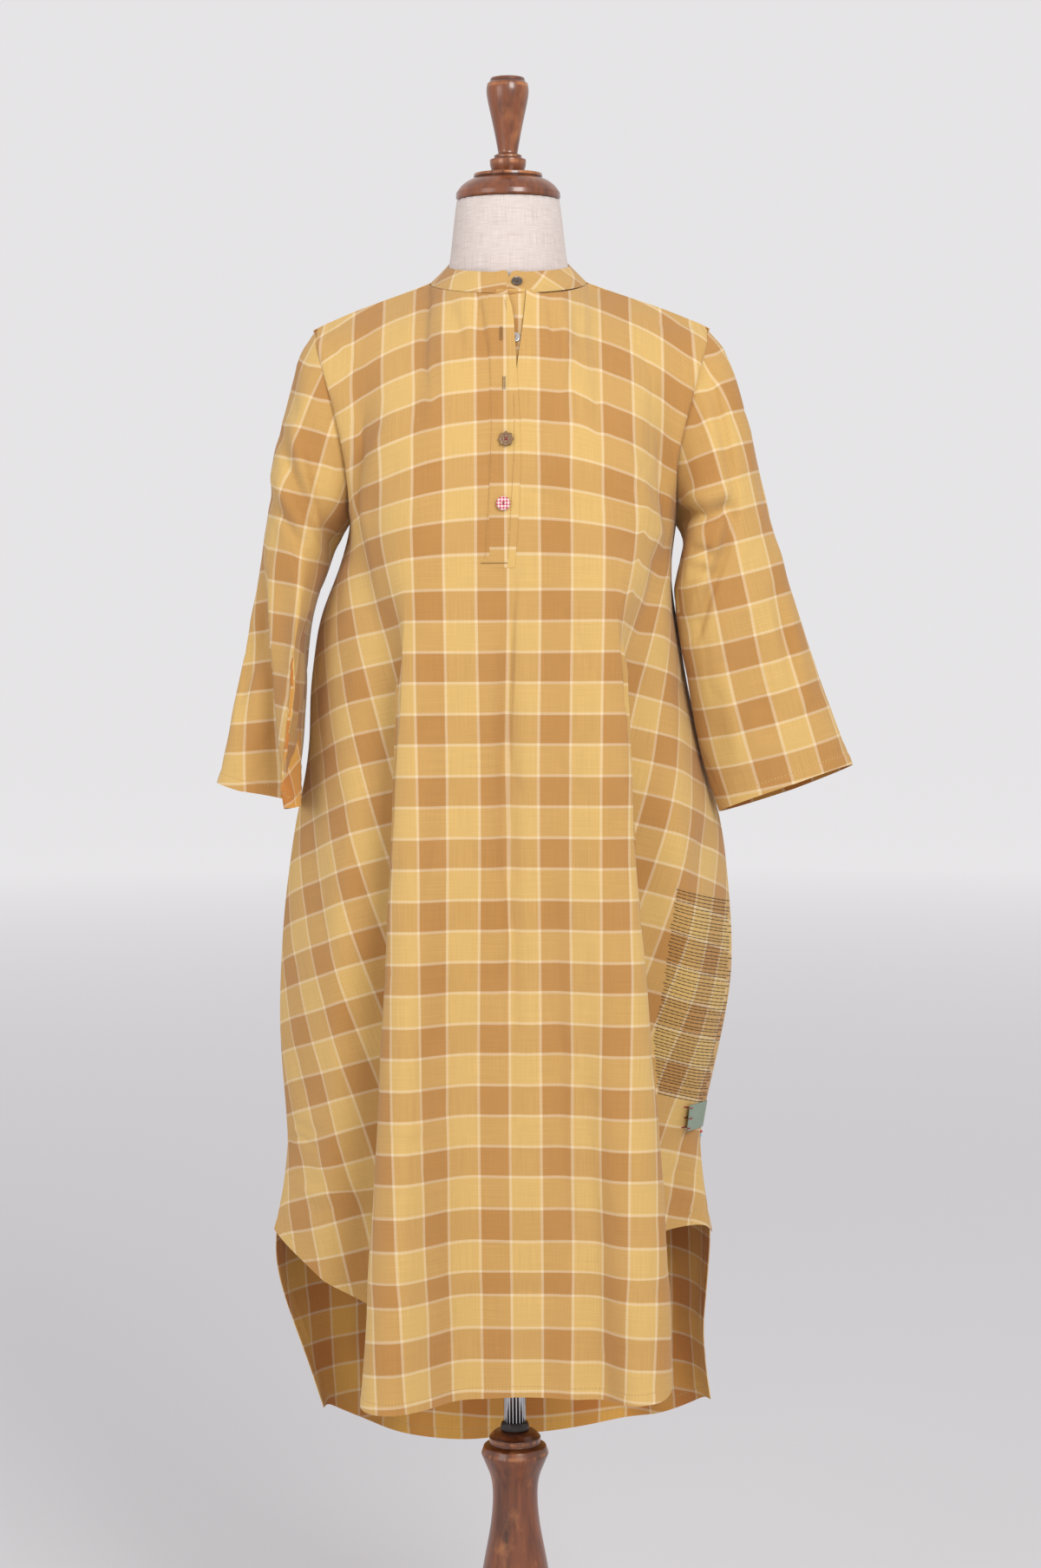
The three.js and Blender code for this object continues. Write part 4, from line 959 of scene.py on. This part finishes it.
def turned(name, profile, steps, middle=(0, 0, 0), facing=(0, 0, 1), petals=0, petal_depth=0.0):
    """A turned shape from (radius, height) places in mm, closed at both ends, standing on middle."""
    mesh = bmesh.new()
    outermost = max(radius for radius, _ in profile)
    stand = Vector(facing).to_track_quat("Z", "Y")
    rings = []
    for radius, height in profile:
        ring = []
        for step in range(steps):
            angle = 2 * math.pi * step / steps
            wave = 1 + petal_depth * math.cos(petals * angle) * radius / outermost
            place = Vector((radius * wave * math.cos(angle), radius * wave * math.sin(angle), height)) * MM
            ring.append(mesh.verts.new(Vector(middle) + stand @ place))
        rings.append(ring)
    for lower, upper in zip(rings[:-1], rings[1:]):
        for step in range(steps):
            after = (step + 1) % steps
            mesh.faces.new((lower[step], lower[after], upper[after], upper[step]))
    mesh.faces.new(rings[0][::-1])
    mesh.faces.new(rings[-1])
    data = bpy.data.meshes.new(name)
    mesh.to_mesh(data)
    mesh.free()
    return new_piece(name, data)


# Painted shadow: a near-black ring, speckled a little, where the pole goes down into the hole in the column's
# top.
hole_shadow = Finish("painted shadow in the pole hole")
shadow_speckle = hole_shadow.speckle(hole_shadow.place("Object"), 300)
hole_shadow.set(Base_Color=hole_shadow.mix(shadow_speckle, (0.01, 0.008, 0.007), (0.04, 0.03, 0.027)), Roughness=0.45)
HOLE_SHADOW_PROFILE = ((12.1, 398.9), (14.6, 398.9), (14.9, 400), (14.4, 404), (13.4, 406.2), (12.1, 406.8))
ring = turned("pole_hole_painted_shadow", HOLE_SHADOW_PROFILE, 48)
finish_solid(ring, hole_shadow.material, None)

# Buttons, all sewn on by hand with thick thread: dark metal, pearl shell, brown wood cut like a flower, and
# one covered with pink check cotton. Each profile is rows of radius and height in mm, from its back up.


def plain_thread(name, dark, light):
    """Cotton thread: twisted strands, a little lighter in some places than in others."""
    finish = Finish(name)
    twist = finish.speckle(finish.place("Object"), 2600, (1, 1, 1), 2)
    finish.set(Base_Color=finish.mix(twist, dark, light), Roughness=0.8)
    finish.bump(twist, 0.2 * MM, 0.5)
    return finish.material


def stitches(name, runs, radius, material):
    """One piece made of a short round thread for each run of places."""
    curve = bpy.data.curves.new(name, "CURVE")
    curve.dimensions = "3D"
    curve.bevel_depth = radius
    curve.bevel_resolution = 1
    curve.use_fill_caps = True
    for run in runs:
        spline = curve.splines.new("POLY")
        spline.points.add(len(run) - 1)
        for point, place in zip(spline.points, run):
            point.co = (*place, 1)
    piece = new_piece(name, curve)
    show_only(piece)
    bpy.ops.object.convert(target="MESH")
    piece = bpy.context.object
    finish_solid(piece, material, None, 70)
    return piece


red_thread = plain_thread("red thread", (0.26, 0.012, 0.018), (0.30, 0.015, 0.02))
brown_thread = plain_thread("brown thread", (0.10, 0.05, 0.02), (0.26, 0.15, 0.06))


def facing_of(cad):
    """The middle of a button's back, and the way it faces."""
    points = points_of(nodes[cad].data)
    middle = (points.max(axis=0) + points.min(axis=0)) / 2
    _, _, axes = np.linalg.svd(points - points.mean(axis=0))
    outward = axes[2] if axes[2][1] < 0 else -axes[2]
    reach = (points - middle) @ outward
    return Vector(middle + outward * reach.min()), Vector(outward), (reach.max() - reach.min()) / MM


def drill(piece, middle, outward, places, radius):
    """Cuts small round holes right through a button."""
    turn = outward.to_track_quat("Z", "Y")
    drills = []
    for x, y in places:
        bpy.ops.object.select_all(action="DESELECT")
        bpy.ops.mesh.primitive_cylinder_add(
            vertices=14,
            radius=radius * MM,
            depth=12 * MM,
            location=middle + turn @ Vector((x, y, 0)) * MM,
            rotation=turn.to_euler(),
        )
        drills.append(bpy.context.object)
    for tool in drills:
        apply_modifier(piece, "BOOLEAN", object=tool, operation="DIFFERENCE", solver="EXACT")
        bpy.data.objects.remove(tool)


def sewn(name, middle, outward, height, ties, material):
    """Threads over a button: each tie runs from hole to hole, and dips into both."""
    turn = outward.to_track_quat("Z", "Y")
    runs = []
    for x1, y1, x2, y2 in ties:
        run = []
        for share, rise in ((0, -1.2), (0.06, 0.1), (0.3, 0.42), (0.7, 0.42), (0.94, 0.1), (1, -1.2)):
            place = Vector((x1 + (x2 - x1) * share, y1 + (y2 - y1) * share, height + rise)) * MM
            run.append(middle + turn @ place)
        runs.append(run)
    return stitches(name, runs, 0.24 * MM, material)


metal = Finish("dark metal")
wear = metal.speckle(metal.place("Object"), 900, (1, 1, 1), 3)
metal.set(Base_Color=metal.mix(wear, (0.06, 0.05, 0.045), (0.26, 0.22, 0.19)), Metallic=0.85)
metal.set(Roughness=wear * 0.3 + 0.25)
metal.bump(wear, 0.2 * MM, 0.4)
middle, outward, tall = facing_of("button_collar")
METAL_BUTTON = (
    (3.6, 0),
    (4.9, 0.3),
    (5.3, 1.0),
    (5.2, 1.7),
    (4.7, tall),
    (4.1, tall - 0.2),
    (3.6, tall - 0.8),
    (1.2, tall - 0.9),
)
METAL_TIES = ((1.1, 1.1, -1.1, -1.1), (-1.1, 1.1, 1.1, -1.1))
button = turned("button_metal_round", METAL_BUTTON, 48, middle, outward)
drill(button, middle, outward, ((1.1, 1.1), (-1.1, 1.1), (1.1, -1.1), (-1.1, -1.1)), 0.55)
finish_solid(button, metal.material, "button_collar", 35)
sewn("button_metal_thread", middle, outward, tall - 0.8, METAL_TIES, brown_thread)

pearl = Finish("pearl shell")
sheen = pearl.speckle(pearl.place("Object"), 420, (1, 1, 0.4), 2)
PEARL_STOPS = [
    (0.3, (0.26, 0.24, 0.20)),
    (0.45, (0.40, 0.35, 0.33)),
    (0.58, (0.25, 0.31, 0.30)),
    (0.75, (0.50, 0.47, 0.41)),
]
lustre = pearl.node("ShaderNodeValToRGB", {"stops": PEARL_STOPS}, {0: sheen})
pearl.set(Base_Color=lustre, Roughness=0.18, Coat_Weight=0.7)
pearl.bump(sheen, 0.2 * MM, 0.2)
middle, outward, tall = facing_of("button_pearl")
PEARL_BUTTON = (
    (3.8, 0),
    (4.9, 0.2),
    (5.2, 0.7),
    (4.9, tall - 0.3),
    (4.2, tall),
    (3.3, tall - 0.1),
    (2.6, tall - 0.5),
    (1.0, tall - 0.55),
)
PEARL_TIES = ((0, 1.0, 0, -1.0), (0.2, 1.0, 0.2, -1.0))
button = turned("button_pearl_round", PEARL_BUTTON, 48, middle, outward)
drill(button, middle, outward, ((0, 1.0), (0, -1.0)), 0.5)
finish_solid(button, pearl.material, "button_pearl", 35)
sewn("button_pearl_thread", middle, outward, tall - 0.5, PEARL_TIES, brown_thread)

carved = Finish("brown button wood")
lines = carved.speckle(carved.place("Object"), 900, (1, 1, 0.2), 3)
carved.set(Base_Color=carved.mix(lines, (0.11, 0.055, 0.022), (0.30, 0.175, 0.085)), Roughness=0.5)
carved.set(Coat_Weight=0.15)
carved.bump(lines, 0.2 * MM, 0.4)
middle, outward, tall = facing_of("button_flower")
FLOWER_BUTTON = (
    (5.2, 0),
    (6.4, 0.3),
    (6.9, 1.0),
    (6.9, 1.6),
    (6.2, tall),
    (5.0, tall - 0.2),
    (4.1, tall - 0.75),
    (3.4, tall - 0.3),
    (1.0, tall - 0.5),
)
button = turned("button_flower_round", FLOWER_BUTTON, 96, middle, outward, petals=8, petal_depth=0.1)
drill(button, middle, outward, ((1.2, 1.2), (-1.2, 1.2), (1.2, -1.2), (-1.2, -1.2)), 0.6)
finish_solid(button, carved.material, "button_flower", 35)
FLOWER_TIES = (
    (1.2, 1.2, -1.2, -1.2),
    (-1.2, 1.2, 1.2, -1.2),
    (1.35, 1.05, -1.05, -1.35),
    (-1.35, 1.05, 1.05, -1.35),
)
sewn("button_flower_thread", middle, outward, tall - 0.3, FLOWER_TIES, red_thread)

pink = Finish("pink and white check")
GINGHAM = 3.2 * MM
gingham_across, _, gingham_up = pink.axes(pink.place("Object"))
in_column = (((gingham_across + 1) / GINGHAM).fraction() - 0.45) / 0.06
in_row = (((gingham_up + 1) / GINGHAM).fraction() - 0.45) / 0.06
both = in_column.limited() * 0.5 + in_row.limited() * 0.5
fibre = pink.speckle(pink.place("Object"), 2600, (1, 1, 1), 2)
woven = pink.mix(both, (0.74, 0.66, 0.64), (0.46, 0.008, 0.05))
pink.set(Base_Color=pink.mix(fibre * 0.15, woven, (0.6, 0.2, 0.25)), Roughness=0.8, Sheen_Weight=0.2)
pink.bump(fibre, 0.2 * MM, 0.5)
middle, outward, tall = facing_of("button_check")
COVERED_BUTTON = (
    (4.8, 0),
    (6.2, 0.3),
    (6.8, 1.2),
    (6.6, 2.0),
    (5.8, 2.6),
    (4.4, tall - 0.15),
    (2.4, tall - 0.1),
    (1.0, tall - 0.35),
    (0.3, tall - 0.5),
)
button = turned("button_check_round", COVERED_BUTTON, 48, middle, outward)
finish_solid(button, pink.material, "button_check", 60)
CHECK_TIES = ((1.6, 1.4, -1.5, -1.5), (-1.6, 1.3, 1.4, -1.5), (0.3, 1.9, -0.2, -1.9))
sewn("button_check_thread", middle, outward, tall - 0.35, CHECK_TIES, red_thread)


# Stitches on the front: dark rows of hand sewing at the hip, machine stitches along the upper placket strip
# with a bar across its foot, and two buttonholes. Each is a short round thread that follows the cloth.
def on_front(x, z, lift=0.15 * MM):
    """The place on the front panel behind (x, z), and its normal, or nothing."""
    place, normal, _, _ = front_surface.ray_cast(Vector((x, -1, z)), Vector((0, 1, 0)))
    if place is None or normal.y > -0.12:
        return None
    return place + normal * lift


def row_of_stitches(start, end, length, gap, lift=0.15 * MM, bow=0.25 * MM):
    """Dashes of thread along a line of the front panel, from start to end in mm."""
    start = Vector(start) * MM
    end = Vector(end) * MM
    total = (end - start).length
    ahead = (end - start) / total
    runs = []
    way = gap / 2
    while way + length <= total:
        run = []
        for share in (0, 0.2, 0.5, 0.8, 1):
            x, z = start + ahead * (way + length * share)
            raise_by = bow * (1 - (2 * share - 1) ** 4)
            run.append(on_front(x, z, lift + raise_by - 0.15 * MM))
        if None not in run:
            runs.append(run)
        way += length + gap
    return runs


olive_thread = plain_thread("olive thread", (0.02, 0.015, 0.007), (0.06, 0.045, 0.02))
tan_thread = plain_thread("tan thread", (0.30, 0.15, 0.05), (0.52, 0.33, 0.13))
HIP_LEFT = ((165, 968), (158, 926), (154, 888), (149, 852), (142, 821), (143, 790), (147, 760))  # (x, z)
HIP_FOOT = 757
HIP_TOP = 968
HIP_ROW = 3.5
HIP_LENGTH = 78
HIP_SLOPE = -0.36
hip = np.random.default_rng(11)
runs = []
for level in np.arange(HIP_FOOT, HIP_TOP, HIP_ROW):
    left_x = np.interp(level, [z for _, z in HIP_LEFT[::-1]], [x for x, _ in HIP_LEFT[::-1]])
    left_x += hip.uniform(-1.2, 1.2)
    tilt = HIP_SLOPE + hip.uniform(-0.008, 0.008)
    start = (left_x, level)
    end = (left_x + HIP_LENGTH, level + HIP_LENGTH * tilt)
    runs += row_of_stitches(start, end, 5.0 * MM, 0.7 * MM, 0.3 * MM)
stitches("hip_stitches", runs, 0.33 * MM, olive_thread)

PLACKET_EDGE = (
    (-1.5, 1548),
    (1, 1533),
    (4, 1510),
    (6, 1490),
    (7, 1460),
    (7.5, 1430),
    (6.5, 1390),
    (4, 1350),
    (2, 1320),
    (0.5, 1294),
)
runs = []
for (x1, z1), (x2, z2) in zip(PLACKET_EDGE[:-1], PLACKET_EDGE[1:]):
    for inset in (2.2, 24.5):
        runs += row_of_stitches((x1 - inset, z1), (x2 - inset, z2), 2.2 * MM, 0.9 * MM, 0.95 * MM)
stitches("placket_stitches", runs, 0.17 * MM, tan_thread)
runs = row_of_stitches((-28, 1291.5), (-1, 1291.5), 2.6 * MM, 0.3 * MM, 1.3 * MM)
stitches("placket_bar", runs, 0.3 * MM, brown_thread)


def buttonhole(x, z, half, lift, lean=0.0):
    """Close bars of thread on both sides of a slit."""
    runs = []
    for step in range(17):
        along = (step / 8 - 1) * half
        middle_x = x + along * math.sin(lean)
        level = z + along * math.cos(lean)
        for side in (-1, 1):
            run = [on_front((middle_x + side * away) * MM, level * MM, lift) for away in (0.35, 0.95, 1.5)]
            if None not in run:
                runs.append(run)
    return runs


holes = buttonhole(-7.2, 1514, 6.5, 1.2 * MM) + buttonhole(-4.6, 1465.5, 6, 1.2 * MM)
stitches("buttonhole_stitches", holes, 0.2 * MM, brown_thread)

# Tab of green cotton folded into the right side seam at hip height and held by three red stitches. Two small
# glass beads, red and blue, are sewn to the seam below it.
tab = new_piece("tab_cloth", outer_sheet("seam_tab"))
tab.data.uv_layers.new(name="UV")
apply_modifier(tab, "SUBSURF", levels=4, render_levels=4, subdivision_type="SIMPLE")
rumple(tab, 0.9 * MM, 0.012, 8)
green = Finish("green cotton")
green_weft = green.speckle(green.place("Object"), 1900, (0.1, 0.1, 1), 2)
green_warp = green.speckle(green.place("Object"), 1900, (1, 1, 0.08), 2)
green_threads = green_weft * 0.5 + green_warp * 0.5
green.set(Base_Color=green.mix(green_threads, (0.12, 0.17, 0.125), (0.32, 0.37, 0.30)), Roughness=0.85)
green.bump(green_threads, 0.3 * MM, 0.5)
apply_modifier(tab, "SOLIDIFY", thickness=0.8 * MM, offset=-1)
finish_solid(tab, green.material, "seam_tab", 50)

tab_surface = BVHTree.FromObject(tab, bpy.context.evaluated_depsgraph_get())
low, high = (np.array(corner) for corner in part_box("seam_tab"))
runs = []
for level, drop, inset in (
    (high[2] - 3.5 * MM, 1.5 * MM, 1.5 * MM),
    ((high[2] + low[2]) / 2, 0.6 * MM, 1.5 * MM),
    (low[2] + 4 * MM, 0.2 * MM, -1 * MM),
):
    begin_x = low[0] + inset
    run = []
    for share in np.linspace(0, 1, 8):
        x = begin_x + (8.5 * share - 4) * MM
        z = level + drop * (1 - share)
        place = on_front(x, z, 0.5 * MM)
        over, _, _, _ = tab_surface.ray_cast(Vector((x, -1, z)), Vector((0, 1, 0)))
        if over and (place is None or over.y - 0.5 * MM < place.y):
            place = over - Vector((0, 0.5 * MM, 0))
        run.append(place)
    if None not in run:
        runs.append(run)
stitches("tab_stitches", runs, 0.6 * MM, red_thread)

BEAD_PROFILE = ((0.45, 0), (0.95, 0.15), (1.3, 0.6), (1.4, 1.1), (1.3, 1.6), (0.95, 2.05), (0.45, 2.2))
for name, drop, dark, light in (
    ("bead_red", 5.5, (0.34, 0.01, 0.012), (0.5, 0.03, 0.03)),
    ("bead_blue", 9.5, (0.25, 0.47, 0.60), (0.42, 0.62, 0.72)),
):
    glass = Finish(name)
    cloud = glass.speckle(glass.place("Object"), 700)
    glass.set(Base_Color=glass.mix(cloud, dark, light), Roughness=0.12, Coat_Weight=0.6)
    level = low[2] - drop * MM
    place = None
    reach = high[0]
    while place is None and reach > low[0]:
        place = on_front(reach, level, 0.6 * MM)
        reach -= 1 * MM
    bead = turned(name, BEAD_PROFILE, 20, place, (0.2, -1, 0.1))
    finish_solid(bead, glass.material, None, 60)

# Floor, soft light and camera. The floor carries painted shade: it is darker near the stand, as the
# photograph is, and the light comes from a window in front and to the right. The camera stands where the
# photograph's did.
bpy.ops.object.select_all(action="DESELECT")
bpy.ops.mesh.primitive_plane_add(size=60, location=(0, 0, -0.001))
floor = bpy.context.object
floor.name = "floor"
plain = Finish("floor with painted shade")
floor_x, floor_y, _ = plain.axes(plain.place("Object"))
# Painted shade: the floor is grey near the stand and pales to white far off.
far = ((floor_x * floor_x + floor_y * floor_y) / 90).limited()
plain.set(Base_Color=plain.mix(far, (0.66, 0.65, 0.665), (1.0, 1.0, 1.0)), Roughness=1.0)
plain.shader.inputs["Specular IOR Level"].default_value = 0.0
floor.data.materials.append(plain.material)

world = bpy.data.worlds.new("pale room")
bpy.context.scene.world = world
world.use_nodes = True
world.node_tree.nodes["Background"].inputs["Color"].default_value = (0.99, 0.975, 0.99, 1)
world.node_tree.nodes["Background"].inputs["Strength"].default_value = 0.8
bpy.context.scene.view_settings.view_transform = "Standard"
for name, place, size, power, color in (
    ("window", (1.3, -3.0, 2.9), 1.3, 80, (1, 0.99, 0.97)),
    ("fill", (-2.6, -2.6, 2.0), 1.8, 34, (1, 0.97, 0.94)),
):
    light = bpy.data.lights.new(name, "AREA")
    light.size = size
    light.energy = power
    light.color = color
    lamp = bpy.data.objects.new(name, light)
    bpy.context.scene.collection.objects.link(lamp)
    lamp.location = place
    lamp.rotation_euler = (Vector((0, 0, 1.1)) - lamp.location).to_track_quat("-Z", "Y").to_euler()

SENSOR = 36
PHOTO_HEIGHT = 1807
FOCAL_PIXELS = 3444  # the lens's focal length, measured in the photograph's own pixels
camera = bpy.data.cameras.new("camera")
camera.sensor_width = SENSOR
camera.lens = FOCAL_PIXELS / PHOTO_HEIGHT * SENSOR
viewer = bpy.data.objects.new("camera", camera)
bpy.context.scene.collection.objects.link(viewer)
viewer.location = (0.0105, -3.031, 1.295)
viewer.rotation_euler = (math.radians(90 - 4.3), math.radians(0.3), 0)
bpy.context.scene.camera = viewer
